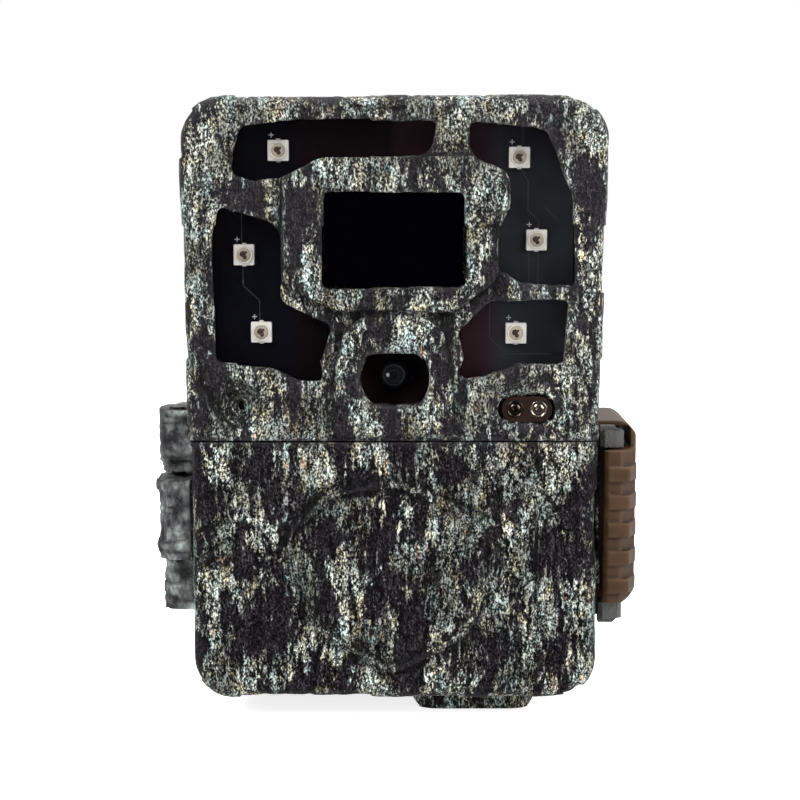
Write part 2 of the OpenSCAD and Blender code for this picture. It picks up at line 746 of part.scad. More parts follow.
module control_panel() color("#2b2c2e")
    difference() {
        slab(frame(panel_x, panel_low, panel_high, bottom_r - wall - run_gap, 1), panel_y, panel_back);
        slab(plate_round([lcd_x, lcd_z], lcd_w - 2 * lcd_view, lcd_h - 2 * lcd_view, 1), panel_y - cut,
            panel_back + cut);
        for (name = key_names)
            slab(plate_round(key_place(name), key_side + slide_gap, key_side + slide_gap, 1.3),
                panel_y - cut, panel_back + cut);
        block([knob_x - knob_w / 2 - run_gap, knob_x + knob_w / 2 + knob_travel + run_gap],
            [panel_y - cut, panel_back + cut], [knob_z - knob_h / 2 - run_gap,
                knob_z + knob_h / 2 + run_gap]);
        block([card_x - card_t / 2 - run_gap, card_x + card_t / 2 + run_gap], [panel_y - cut,
            panel_back + cut],
            [card_low - run_gap, card_low + card_h + run_gap]);
        for (x = [-post_x, post_x], z = [post_low, post_high]) rod_y([x, z], screw_r, panel_y - cut,
            panel_back + cut);
    }

module panel_screws() color("#9a9c9e")
    for (x = [-post_x, post_x], z = [post_low, post_high]) {
        rod_y([x, z], screw_r, panel_y, panel_back + 4.6);
        rod_y([x, z], screw_r + 0.9, panel_y - 0.6, panel_y);
    }

module lcd_frame() color("#b4b6b8")
    difference() {
        slab(plate_round([lcd_x, lcd_z], lcd_w + 2 * lcd_rim, lcd_h + 2 * lcd_rim, 0.6), panel_back,
            panel_back + lcd_t + 1.2);
        slab(plate_round([lcd_x, lcd_z], lcd_w + 2 * slack, lcd_h + 2 * slack, 0.4), panel_back - cut,
            panel_back + lcd_t);
    }

module lcd_screen() color("#16202b")
    slab(plate_round([lcd_x, lcd_z], lcd_w, lcd_h, 0.4), panel_back, panel_back + lcd_t);

module switch_body() color("#202124")
    difference() {
        block([knob_x - knob_w / 2 - 1.6, knob_x + knob_w / 2 + knob_travel + 1.6], [panel_back, body_back],
            [knob_z - 3, knob_z + 3]);
        block([knob_x - knob_w / 2 - run_gap, knob_x + knob_w / 2 + knob_travel + run_gap],
            [panel_back - cut, knob_back + run_gap], [knob_z - knob_h / 2 - run_gap,
                knob_z + knob_h / 2 + run_gap]);
    }

module power_knob() color("#8a4a2a")
    block([knob_x - knob_w / 2, knob_x + knob_w / 2], [panel_y - 1.2, knob_back],
        [knob_z - knob_h / 2, knob_z + knob_h / 2]);

module sd_socket() color("#a8abae")
    difference() {
        block([card_x - socket_t / 2, card_x + socket_t / 2], [panel_back, socket_back],
            [card_low - 1.4, card_low + card_h + 1.4]);
        block([card_x - card_t / 2 - run_gap, card_x + card_t / 2 + run_gap], [panel_back - cut,
            socket_back - 0.8],
            [card_low - run_gap, card_low + card_h + run_gap]);
    }

// Flat memory card on edge, with its cut corner at the lower inner end
module sd_card() color("#1f3f6b")
    translate([card_x - card_t / 2, 0, 0]) rotate([90, 0, 90]) linear_extrude(card_t) polygon([[card_y,
        card_low],
        [card_y + card_l - 4, card_low], [card_y + card_l, card_low + 4], [card_y + card_l,
            card_low + card_h],
        [card_y, card_low + card_h]]);

module dc_jack() color("#1b1b1d") {
    top = floor_in + jack_h;
    difference() {
        union() {
            block([jack_x - jack_side / 2, jack_x + jack_side / 2], [jack_y - jack_side / 2,
                jack_y + jack_side / 2],
                [floor_in, top]);
            rod_z(jack_x, jack_y, jack_r, floor_z + 0.2, floor_in);
        }
        rod_z(jack_x, jack_y, jack_bore, floor_z - cut, top - 2);
    }
    rod_z(jack_x, jack_y, jack_pin, floor_z + 1.6, top - 2);
}

module dc_cap() color("#1f1f20") {
    cap_top = floor_z - slack;
    rod_z(jack_x, jack_y, cap_r, cap_top - cap_t, cap_top);
    rod_z(jack_x, jack_y, jack_bore - 0.7, cap_top, cap_top + 1.1);
    difference() {
        union() {
            block([cap_hinge_x, jack_x - cap_r / 2], [jack_y - cap_span, jack_y + cap_span],
                [cap_top - cap_t, cap_top - run_gap]);
            translate([cap_hinge_x, jack_y - cap_span, cap_hinge_z]) rotate([-90, 0, 0])
                cylinder(r = cap_hinge_r, h = 2 * cap_span);
        }
        translate([cap_hinge_x, jack_y - cap_span - cut, cap_hinge_z]) rotate([-90, 0, 0])
            cylinder(r = cap_pin_r + bore_gap, h = 2 * cap_span + 2 * cut);
    }
}

module dc_cap_pin() color("#9a9c9e") {
    reach = cap_span + run_gap + lug_t;
    translate([cap_hinge_x, jack_y - reach, cap_hinge_z]) rotate([-90, 0, 0]) cylinder(r = cap_pin_r,
        h = 2 * reach);
}

module tripod_insert() color("#b08d4a")
    difference() {
        rod_z(boss_x, boss_y, insert_r, 0, insert_z);
        rod_z(boss_x, boss_y, tripod_r, -cut, insert_z + cut);
    }

// Bare raised rim on the door: x, height above the case floor, corner radius
door_rim = [[-21, 33, 5], [-12, 41, 7], [0, 43.4, 9], [11, 39, 7], [20, 31, 5], [14, 14, 9], [0, 6.4, 6],
    [-14, 14, 9]];
rim_w = 1.2;
rim_h = 0.7;
function on_door(pts, grow) = rounded([for (p = pts) let (c = [0, 25])
    let (v = flat2(p) - c, q = c + v * (norm(v) + grow) / norm(v)) [q[0], floor_z + q[1], p[2]]]);

// Knuckle of the door and the arm that carries it, over part of its height
module door_knuckle(r, z0, z1) {
    arm_y = hinge_y - 9;
    rod_z(hinge_x, hinge_y, r, z0, z1);
    translate([0, 0, z0]) linear_extrude(z1 - z0) polygon([[hinge_x - r, hinge_y], [hinge_x - r, arm_y + 3],
        [hinge_x - r + 2, arm_y], [-door_w / 2 + bite, arm_y], [-door_w / 2 + bite, part_y - door_gap],
        [hinge_x + knuckle_r - slack, part_y - door_gap], [hinge_x + knuckle_r - slack, hinge_y]]);
}

module door_shell() color("#4c5148")
    difference() {
        union() {
            difference() {
                soft_cover(door_w / 2, floor_z, door_z, bottom_r, 1, edge_r, seam_ease, part_y - door_gap);
                slab(frame(door_w / 2 - wall, floor_z + wall, door_z - wall, bottom_r - wall, 1),
                    face_in, part_y);
            }
            difference() {
                slab(on_door(door_rim, rim_w), face_y - rim_h, face_y + bite);
                slab(on_door(door_rim, 0), face_y - relief, face_y + cut);
            }
            door_knuckle(knuckle_r - knot, knuckle_low, knuckle_high);
            door_knuckle(knuckle_r, knuckle_low + neck_l, knuckle_low + neck_l + knot_l);
            door_knuckle(knuckle_r, knuckle_high - knot_l, knuckle_high);
            block([door_w / 2 - bite, catch_x], [catch_y, catch_y + catch_d], [lever_low + 2,
                lever_high - 2]);
        }
        rod_z(hinge_x, hinge_y, hinge_pin_r + bore_gap, knuckle_low - cut, knuckle_high + cut);
    }

module door_seal() color("#141414") {
    x = side_x - bite;
    difference() {
        slab(frame(x, floor_z + bite, door_z - bite, bottom_r - bite, 1), part_y - seal_t, part_y);
        slab(frame(x - seal_w, floor_z + bite + seal_w, door_z - bite - seal_w, bottom_r - bite - seal_w, 1),
            part_y - seal_t - cut, part_y + cut);
    }
}

module hinge_pin() color("#9a9c9e") rod_z(hinge_x, hinge_y, hinge_pin_r, hinge_low + 1, hinge_high);

// Section of the latch lever, with its outer faces drawn in by d
function lever_section(d) = [[latch_x - 1.4, latch_y], [side_x + 1.7, part_y], [catch_x + 1.4, part_y - 0.8],
    [catch_x + 1.4, nose_y], [nose_x, nose_y], [nose_x, nose_y - nose_d / 2], [nose_x + 1, lever_front + d],
    [cap_x - lever_face - d * band_slant, lever_front + d], [outer_x - d / 3, lever_front + lever_ease],
    [outer_x - d / 3, latch_y - heel], [cap_x, latch_y]];

// Outline of the lever from the front, with its outer corners rounded
lever_view = rounded([[side_x, lever_low, lip_edge], [outer_x, lever_low, lever_round],
    [outer_x, cap_high, lever_round], [side_x, cap_high, lip_edge]]);

module latch_lever() color("#5f4836")
    difference() {
        intersection() {
            union() {
                translate([0, 0, lever_low]) linear_extrude(lever_high - lever_low)
                    polygon(lever_section(inset));
                for (i = [0:bands - 1]) translate([0, 0, lever_low + band_first + i * band_pitch])
                    linear_extrude(band_h) polygon(lever_section(0));
                rod_z(latch_x, latch_y, latch_eye, lever_low, lever_high);
                translate([0, 0, cap_low]) linear_extrude(cap_high - cap_low) polygon([
                    [cap_x, lever_front + lever_ease], [outer_x - side_in, lever_front + lever_ease],
                    [outer_x - side_in, latch_y - heel], [cap_x, latch_y]]);
                translate([0, 0, dome_low]) linear_extrude(cap_high - dome_low) polygon([
                    [side_x + dome_in, part_y + dome_in], [cap_x + bite, part_y + dome_in],
                    [cap_x + bite, latch_y - heel], [cap_x, latch_y], [latch_x - dome_in, latch_y]]);
            }
            slab(lever_view, lever_front - cut, latch_y + latch_eye + cut);
        }
        rod_z(latch_x, latch_y, latch_pin_r + bore_gap, lever_low - cut, lever_high + cut);
    }

module latch_pin() color("#9a9c9e") rod_z(latch_x, latch_y, latch_pin_r, arm_low, arm_high + arm_h);

// Cells stand in two rows, one on each side of the tray's middle wall
cell_z = floor_z + tray_floor + contact_t;
row_y = [tray_y + row_d / 2, tray_y + tray_d - row_d / 2];
col_x = [for (i = [0:cols - 1]) (i - (cols - 1) / 2) * pitch_x];

module battery_tray() color("#25262a") {
    x = tray_w / 2;
    z0 = floor_z + tray_floor;
    difference() {
        block([-x, x], [tray_y, tray_y + tray_d], [floor_z, floor_z + tray_h]);
        for (y = [tray_y - cut, tray_y + row_d + tray_mid])
            block([-x + tray_wall, x - tray_wall], [y, y + row_d + cut], [z0, z0 + cell_l + 2 * contact_t]);
        for (s = [-1, 1]) rod_z(s * grip_l / 2, tray_y + tray_d / 2, grip_r, floor_z - cut,
            floor_z + grip_d);
        block([-grip_l / 2, grip_l / 2], [tray_y + tray_d / 2 - grip_r, tray_y + tray_d / 2 + grip_r],
            [floor_z - cut, floor_z + grip_d]);
    }
}

module battery_cells() color("#b5793a")
    for (x = col_x, y = row_y) {
        rod_z(x, y, cell_d / 2, cell_z, cell_z + cell_l - 1);
        rod_z(x, y, cell_d / 5, cell_z + cell_l - 1, cell_z + cell_l);
    }

module tray_contacts() color("#c0c2c4")
    for (x = col_x, y = row_y) {
        rod_z(x, y, cell_d / 4, cell_z - contact_t, cell_z);
        rod_z(x, y, cell_d / 4, cell_z + cell_l, cell_z + cell_l + contact_t);
    }

module bay_contacts() color("#c0c2c4") {
    y = tray_y + tray_d / 2;
    for (x = [-pitch_x, pitch_x])
        block([x - bay_pad, x + bay_pad], [y - bay_pad, y + bay_pad], [bay_top - run_gap, bay_top]);
}

function teeth(z0, z1, y) = let (n = floor((z1 - z0) / tooth_pitch))
    [for (i = [0:n - 1]) each [[y, z0 + i * tooth_pitch], [y - tooth_d, z0 + (i + 0.6) * tooth_pitch]]];

module tree_bracket() color("#303234") {
    rear_y = plate_y + plate_t;
    difference() {
        union() {
            for (s = [-1, 1]) translate([s * rib_x - rib_w / 2, 0, 0]) rotate([90, 0, 90])
                linear_extrude(rib_w)
                polygon(concat([[back_y, 0], [rear_y, 0]], teeth(tooth_low, plate_low - rib_ease, rear_y),
                [[rear_y, plate_low], [rear_y, rib_top - rib_ease], [rear_y - rib_ease, rib_top],
                    [back_y, rib_top]]));
            block([-rib_x, rib_x], [plate_y, rear_y], [plate_low, plate_high]);
        }
        block([-rib_x - rib_w, rib_x + rib_w], [back_y - cut, plate_y],
            [strap_z - strap_h / 2, strap_z + strap_h / 2]);
        for (x = [-rib_x, rib_x], z = bracket_screw_z) {
            rod_y([x, z], bracket_screw_r, back_y - cut, rear_y + cut);
            rod_y([x, z], bracket_screw_r + 0.6, rear_y - head_sink, rear_y + cut);
        }
    }
}

module bracket_screws() color("#8d8f90")
    for (x = [-rib_x, rib_x], z = bracket_screw_z) {
        head_y = plate_y + plate_t - head_sink;
        rod_y([x, z], bracket_screw_r, back_in + 0.4, head_y);
        rod_y([x, z], bracket_screw_r + 0.5, head_y, head_y + head_t);
    }

rear_housing();
front_fascia();
case_screws();
led_window();
led_board();
ir_leds();
pir_window();
pir_sensor();
lens_hood();
lens_barrel();
lens_glass();
lens_holder();
sensor_board();
ir_cut_filter();
status_window();
status_led();
light_sensor();
microphone();
main_board();
key_switches();
control_panel();
panel_screws();
lcd_frame();
lcd_screen();
key_mode();
key_up();
key_down();
key_left();
key_right();
key_enter();
switch_body();
power_knob();
sd_socket();
sd_card();
dc_jack();
dc_cap();
dc_cap_pin();
tripod_insert();
door_shell();
door_seal();
hinge_pin();
latch_lever();
latch_pin();
battery_tray();
battery_cells();
tray_contacts();
bay_contacts();
tree_bracket();
bracket_screws();
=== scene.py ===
import bpy
import bmesh
import math
from mathutils import Matrix, Vector, noise


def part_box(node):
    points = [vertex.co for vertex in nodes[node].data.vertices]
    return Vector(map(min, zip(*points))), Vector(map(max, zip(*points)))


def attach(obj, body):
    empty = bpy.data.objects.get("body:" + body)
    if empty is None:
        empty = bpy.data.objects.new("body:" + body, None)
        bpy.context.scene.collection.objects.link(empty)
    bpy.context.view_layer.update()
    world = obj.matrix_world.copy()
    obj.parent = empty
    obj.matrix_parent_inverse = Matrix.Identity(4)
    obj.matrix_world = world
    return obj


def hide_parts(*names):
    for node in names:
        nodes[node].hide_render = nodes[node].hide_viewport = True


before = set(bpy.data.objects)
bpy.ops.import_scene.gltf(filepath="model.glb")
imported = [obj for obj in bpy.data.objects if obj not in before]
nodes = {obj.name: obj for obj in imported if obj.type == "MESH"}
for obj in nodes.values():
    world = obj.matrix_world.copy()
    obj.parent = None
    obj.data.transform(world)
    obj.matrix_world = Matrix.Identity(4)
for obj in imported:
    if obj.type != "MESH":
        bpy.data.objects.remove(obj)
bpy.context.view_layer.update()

# Rear housing: the moulded plastic tub that carries everything, with a bark camouflage film printed on it.
# Its right ears, painted plain grey, take the latch pin. Its left ears have a section of their own below.
mm = 0.001


def shader(name):
    """A new material, with its tree, its Principled node and its Object coordinates."""
    material = bpy.data.materials.new(name)
    material.use_nodes = True
    tree = material.node_tree
    surface = tree.nodes["Principled BSDF"]
    place = tree.nodes.new("ShaderNodeTexCoord").outputs["Object"]
    return material, tree, surface, place


def stretched_noise(tree, place, size, detail, rough, warp=0.0):
    """Noise whose blotches are about size = (x, y, z) millimetres."""
    mapping = tree.nodes.new("ShaderNodeMapping")
    mapping.inputs["Scale"].default_value = [1.0 / (s * mm) for s in size]
    tree.links.new(place, mapping.inputs["Vector"])
    texture = tree.nodes.new("ShaderNodeTexNoise")
    texture.inputs["Scale"].default_value = 1.0
    texture.inputs["Detail"].default_value = detail
    texture.inputs["Roughness"].default_value = rough
    texture.inputs["Distortion"].default_value = warp
    tree.links.new(mapping.outputs["Vector"], texture.inputs["Vector"])
    return texture.outputs["Fac"]


def ramp(tree, value, stops):
    """A colour ramp over (position, colour) stops."""
    node = tree.nodes.new("ShaderNodeValToRGB")
    elements = node.color_ramp.elements
    while len(elements) < len(stops):
        elements.new(0.5)
    for element, (position, colour) in zip(elements, stops):
        element.position = position
        element.color = (*colour, 1.0)
    tree.links.new(value, node.inputs["Fac"])
    return node.outputs["Color"]


def mixed(tree, factor, a, b):
    """Colour a where factor is 0 and b where it is 1."""
    node = tree.nodes.new("ShaderNodeMix")
    node.data_type = "RGBA"
    for name, value in (("Factor", factor), ("A", a), ("B", b)):
        if isinstance(value, tuple):
            node.inputs[name].default_value = (*value, 1.0)
        else:
            tree.links.new(value, node.inputs[name])
    return node.outputs["Result"]


def tinted(tree, a, b):
    """Colour a multiplied by colour or value b."""
    node = tree.nodes.new("ShaderNodeMix")
    node.data_type = "RGBA"
    node.blend_type = "MULTIPLY"
    node.inputs["Factor"].default_value = 1.0
    tree.links.new(a, node.inputs["A"])
    tree.links.new(b, node.inputs["B"])
    return node.outputs["Result"]


def maths(tree, operation, a, b, c=None):
    """A calculation on two or three terms, each a number or another node's output."""
    node = tree.nodes.new("ShaderNodeMath")
    node.operation = operation
    for socket, value in zip(node.inputs, (a, b, c)):
        if value is None:
            continue
        if isinstance(value, (int, float)):
            socket.default_value = value
        else:
            tree.links.new(value, socket)
    return node.outputs["Value"]


def spread(tree, value, low, high, to_low=0.0, to_high=1.0):
    """A smooth step of value from low to high."""
    node = tree.nodes.new("ShaderNodeMapRange")
    node.interpolation_type = "SMOOTHSTEP"
    node.inputs["From Min"].default_value = low
    node.inputs["From Max"].default_value = high
    node.inputs["To Min"].default_value = to_low
    node.inputs["To Max"].default_value = to_high
    tree.links.new(value, node.inputs["Value"])
    return node.outputs["Result"]


def bumped(tree, surface, height, strength, depth):
    """Gives a surface fine roughness from a height value, depth in metres."""
    node = tree.nodes.new("ShaderNodeBump")
    node.inputs["Strength"].default_value = strength
    node.inputs["Distance"].default_value = depth
    tree.links.new(height, node.inputs["Height"])
    tree.links.new(node.outputs["Normal"], surface.inputs["Normal"])


def within(tree, place, low, high):
    """1 inside a box given in millimetres, and 0 outside it."""
    split = tree.nodes.new("ShaderNodeSeparateXYZ")
    tree.links.new(place, split.inputs[0])
    inside = None
    for axis, a, b in zip("XYZ", low, high):
        near = maths(tree, "COMPARE", split.outputs[axis], (a + b) / 2 * mm, (b - a) / 2 * mm)
        inside = near if inside is None else maths(tree, "MULTIPLY", inside, near)
    return inside


def wear_and_shade(tree, colour, layer, share, tone):
    """Colour with a share of tone laid over it where a layer of the mesh is marked: edge tones on rims, and
    painted shade in hollows.
    """
    mask = tree.nodes.new("ShaderNodeAttribute")
    mask.attribute_name = layer
    return mixed(tree, maths(tree, "MULTIPLY", mask.outputs["Fac"], share), colour, tone)


def bark_print(name, zones, bare, gain, shine=0.12, drift=0.0, deep=1.0):
    """Camouflage film: charcoal bark with ragged patches of lichen flecks, in grey green, mint, olive and a
    little rust. Zones are plain colours with the boxes that they fill. A higher bare leaves fewer patches,
    gain lightens the lichen, drift slides the print along, in millimetres, and a lower deep makes the
    bark's hollows blacker."""
    material, tree, surface, here = shader(name)
    slid = tree.nodes.new("ShaderNodeMapping")
    slid.inputs["Location"].default_value = (drift * mm, 0, 0)
    tree.links.new(here, slid.inputs["Vector"])
    place = slid.outputs["Vector"]
    patches = stretched_noise(tree, place, (6, 6, 14), 5.0, 0.60, 0.6)
    streaks = stretched_noise(tree, place, (1.0, 1.0, 6.0), 3.0, 0.6, 0.5)
    flecks = stretched_noise(tree, place, (0.75, 0.75, 1.5), 4.0, 0.7, 0.8)
    specks = stretched_noise(tree, place, (0.34, 0.34, 0.55), 2.0, 0.6, 0.3)
    tints = stretched_noise(tree, place, (3.4, 3.4, 6.5), 4.0, 0.72, 0.4)
    rust = stretched_noise(tree, place, (3.0, 3.0, 7), 3.0, 0.6)
    tone = spread(tree, stretched_noise(tree, place, (8, 8, 12), 2.0, 0.5), 0.36, 0.64, 0.50, 1.40)
    edge = maths(tree, "MULTIPLY_ADD", flecks, 0.30, patches)
    edge = maths(tree, "MULTIPLY_ADD", streaks, 0.16, edge)
    cover = spread(tree, edge, bare + 0.19, bare + 0.27)
    grain = maths(tree, "MULTIPLY_ADD", streaks, 0.30, -0.23)
    grain = maths(tree, "MULTIPLY_ADD", flecks, 0.48, grain)
    grain = maths(tree, "MULTIPLY_ADD", specks, 0.68, grain)
    lichen = ramp(tree, grain, [
        (0.40, (0.002, 0.002, 0.002)), (0.465, (0.022, 0.022, 0.022)), (0.51, (0.11 * gain,) * 3),
        (0.56, (0.31 * gain,) * 3), (0.64, (0.72 * gain,) * 3)])
    bark = ramp(tree, grain, [
        (0.38, (0.0018 * deep, 0.0015 * deep, 0.0019 * deep)),
        (0.48, (0.0090 * deep, 0.0078 * deep, 0.0096 * deep)),
        (0.58, (0.024, 0.021, 0.025)), (0.72, (0.085, 0.083, 0.080))])
    hue = ramp(tree, tints, [
        (0.36, (1.05, 0.96, 0.63)), (0.42, (1.01, 0.99, 0.77)), (0.48, (0.97, 1.00, 0.89)),
        (0.53, (0.94, 1.01, 0.93)), (0.58, (0.88, 1.04, 0.97)), (0.65, (0.85, 1.06, 1.03))])
    hue = mixed(tree, spread(tree, rust, 0.64, 0.72), hue, (1.08, 0.74, 0.50))
    colour = mixed(tree, cover, bark, tinted(tree, tinted(tree, lichen, hue), tone))
    colour = wear_and_shade(tree, colour, "rim", 0.60, (0.034, 0.032, 0.035))
    # Painted shade: points marked as hollows, the creases and pressed grooves, are darkened nearly to black.
    colour = wear_and_shade(tree, colour, "hollow", 0.85, (0.004, 0.004, 0.004))
    for plain, boxes in zones:
        for low, high in boxes:
            colour = mixed(tree, within(tree, here, low, high), colour, plain)
    tree.links.new(colour, surface.inputs["Base Color"])
    tree.links.new(spread(tree, flecks, 0.3, 0.7, 0.32, 0.52), surface.inputs["Roughness"])
    surface.inputs["Specular IOR Level"].default_value = shine
    bumped(tree, surface, maths(tree, "MULTIPLY_ADD", cover, 0.15, grain), 0.7, 0.9 * mm)
    return material


def new_piece(name, mesh, body, material):
    """Puts a finished mesh in the scene, riding on a body."""
    piece = bpy.data.objects.new(name, mesh)
    bpy.context.scene.collection.objects.link(piece)
    mesh.materials.clear()
    mesh.materials.append(material)
    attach(piece, body)
    return piece


def merged_copy(node):
    """A bmesh of a CAD node with its loose triangles joined."""
    bm = bmesh.new()
    bm.from_mesh(nodes[node].data)
    bmesh.ops.remove_doubles(bm, verts=bm.verts, dist=1e-6)
    return bm


def to_mesh(bm, name, smooth=True):
    """The finished mesh of a bmesh, which is used up."""
    mesh = bpy.data.meshes.new(name)
    bm.to_mesh(mesh)
    bm.free()
    for face in mesh.polygons:
        face.use_smooth = smooth
    return mesh


def parted(node, x, side):
    """A closed copy of the part of a CAD node on one side of the plane at x."""
    bm = merged_copy(node)
    bmesh.ops.bisect_plane(bm, geom=bm.verts[:] + bm.edges[:] + bm.faces[:], plane_co=(x, 0, 0),
                           plane_no=(side, 0, 0), clear_inner=True)
    bmesh.ops.holes_fill(bm, edges=[e for e in bm.edges if e.is_boundary])
    return bm


bare_inside = (0.012, 0.012, 0.013)
ear_grey = (0.105, 0.105, 0.102)
ear_x = 39.3
ear_root = -ear_x * mm
inside_boxes = [((-36.9, -21.5, 14.0), (36.9, 23.6, 112.0)), ((-29.0, -21.5, 7.1), (29.0, 23.6, 120.3)),
                ((-30.2, -8.0, 4.4), (30.2, 23.6, 66.0))]
latch_ear_box = ((ear_x, -30.0, 10.0), (50.0, 30.0, 62.0))
housing_print = bark_print("bark_housing", [(bare_inside, inside_boxes), (ear_grey, [latch_ear_box])],
                           bare=0.46, gain=1.2)
tub_mesh = to_mesh(parted("rear_housing", ear_root, 1), "housing_tub", False)
tub = new_piece("housing_tub", tub_mesh, "case", housing_print)
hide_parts("rear_housing")

# Hinge ears: lumps of weathered bark, moulded in one with the housing at its left.
# They hold the ends of the hinge pin.
weathered, tree, surface, place = shader("bark_hinge")
blotches = stretched_noise(tree, place, (3.0, 3.0, 4.2), 6.0, 0.66, 0.15)
stain_and_shade = ramp(tree, blotches, [
    (0.36, (0.014, 0.013, 0.015)), (0.44, (0.060, 0.059, 0.063)), (0.51, (0.115, 0.120, 0.120)),
    (0.58, (0.20, 0.225, 0.215)), (0.66, (0.42, 0.46, 0.43))])
# Painted shade: the creases pressed into the knuckles are darkened nearly to black.
stain_and_shade = wear_and_shade(tree, stain_and_shade, "hollow", 0.78, (0.008, 0.008, 0.009))
tree.links.new(stain_and_shade, surface.inputs["Base Color"])
surface.inputs["Roughness"].default_value = 0.5
surface.inputs["Specular IOR Level"].default_value = 0.18
bumped(tree, surface, blotches, 0.35, 0.7 * mm)
pin_low, pin_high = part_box("hinge_pin")
pin_x = (pin_low.x + pin_high.x) / 2
outer_share = 0.82
crease_deep = 0.3


def voxel_skin(bm, name, voxel):
    """The bmesh remade as an even skin of small quads."""
    mesh = to_mesh(bm, name)
    holder = bpy.data.objects.new(name, mesh)
    bpy.context.scene.collection.objects.link(holder)
    remesh = holder.modifiers.new("skin", "REMESH")
    remesh.mode = "VOXEL"
    remesh.voxel_size = voxel
    graph = bpy.context.evaluated_depsgraph_get()
    skin = bpy.data.meshes.new_from_object(holder.evaluated_get(graph))
    bpy.data.objects.remove(holder)
    return skin


def softened(bm, verts, passes=1):
    """Smooths some points of a skin, as often as passes says."""
    for _ in range(passes):
        bmesh.ops.smooth_vert(bm, verts=verts, factor=0.5, use_axis_x=True, use_axis_y=True, use_axis_z=True)


def bark_height(place, wave=1.0):
    """Moulded bark in millimetres below the skin: upright plates with cracks between them."""
    p = place / mm
    plates = noise.noise(Vector((p.x / 7.0, p.y / 7.0, p.z / 19.0)))
    ridges = noise.noise(Vector((p.x / 2.4 + 9.0, p.y / 2.4, p.z / 8.5)))
    fine = noise.noise(Vector((p.x / 0.9, p.y / 0.9 + 4.0, p.z / 2.4)))
    crack = 1.0 - min(1.0, abs(plates) * 5.0)
    return min(0.0, wave * (0.22 * plates + 0.13 * ridges + 0.06 * fine - 0.18 * crack - 0.12))


def drawn_in(bm):
    """Draws the outer half of a knuckle in towards the pin, as bark shrinks."""
    for vert in bm.verts:
        if vert.co.x < pin_x:
            vert.co.x = pin_x + (vert.co.x - pin_x) * outer_share


def creased(bm, reach):
    """Presses creases that run across a knuckle into it, left of reach in millimetres, and marks them as
    hollows, which the hinge finish darkens as painted shade.
    """
    hollow = bm.verts.layers.float.get("hollow") or bm.verts.layers.float.new("hollow")
    bm.normal_update()
    for vert in bm.verts:
        p = vert.co / mm
        if p.x < reach:
            fold = noise.noise(Vector((p.x / 16.0, p.y / 16.0, p.z / 2.6)))
            crease = max(0.0, 1.0 - 4.4 * abs(fold))
            vert[hollow] = max(vert[hollow], crease)
            vert.co -= vert.normal * crease * crease_deep * mm


ears = bmesh.new()
ears.from_mesh(voxel_skin(parted("rear_housing", ear_root, -1), "hinge_ears", 0.35 * mm))
softened(ears, ears.verts)
ears.normal_update()
for vert in ears.verts:
    vert.co += vert.normal * bark_height(vert.co * 1.4, 1.3) * mm
drawn_in(ears)
creased(ears, -ear_x)
new_piece("hinge_ears", to_mesh(ears, "hinge_ears"), "case", weathered)

# Front fascia: the fixed upper cover, one plastic moulding with four shaped windows, the sensor frame and the
# lens arch, held by four screws from behind. The bark relief is cut into the mould, so it shows on every
# edge.
skin_voxel = 0.42 * mm
flat_snap = 0.36
flat_margin = 0.9
flat_share = 0.2
on_flat = 0.01
step_deep = 0.42
step_long = 13.0
hollow_full = 0.12
rim_full = 0.20
groove_deep = 0.45
crack_half = 0.55
foot_half = 0.85


def stepped(place, normal):
    """Broken plates along the outer edges, in millimetres below the skin."""
    p = place / mm
    run = p.z if abs(normal.x) > abs(normal.z) else p.x
    side = math.hypot(normal.x, normal.z)
    plate = noise.cell(Vector((run / step_long + 0.37, p.x // 200.0, p.z // 200.0)))
    return -step_deep * side * (plate > 0.05)


def from_line(x, z, a, b):
    """Distance in millimetres from a point to the line between a and b, seen from the front."""
    along = (b[0] - a[0], b[1] - a[1])
    share = ((x - a[0]) * along[0] + (z - a[1]) * along[1]) / (along[0] ** 2 + along[1] ** 2)
    share = min(1.0, max(0.0, share))
    return math.hypot(x - a[0] - share * along[0], z - a[1] - share * along[1])


def marked(bm):
    """Marks how deep each point of a skin lies in a hollow and how far out on a rim, on two layers, and
    returns the first of them."""
    bm.normal_update()
    rim = bm.verts.layers.float.new("rim")
    hollow = bm.verts.layers.float.new("hollow")
    worn = bm.copy()
    softened(worn, worn.verts, 8)
    for vert, soft in zip(bm.verts, worn.verts):
        bend = (soft.co - vert.co).dot(vert.normal) / mm
        # The hollow mark is what the finishes darken as painted shade in concave places.
        vert[hollow] = min(1.0, max(0.0, bend / hollow_full))
        vert[rim] = min(1.0, max(0.0, -bend / rim_full))
    worn.free()
    return hollow


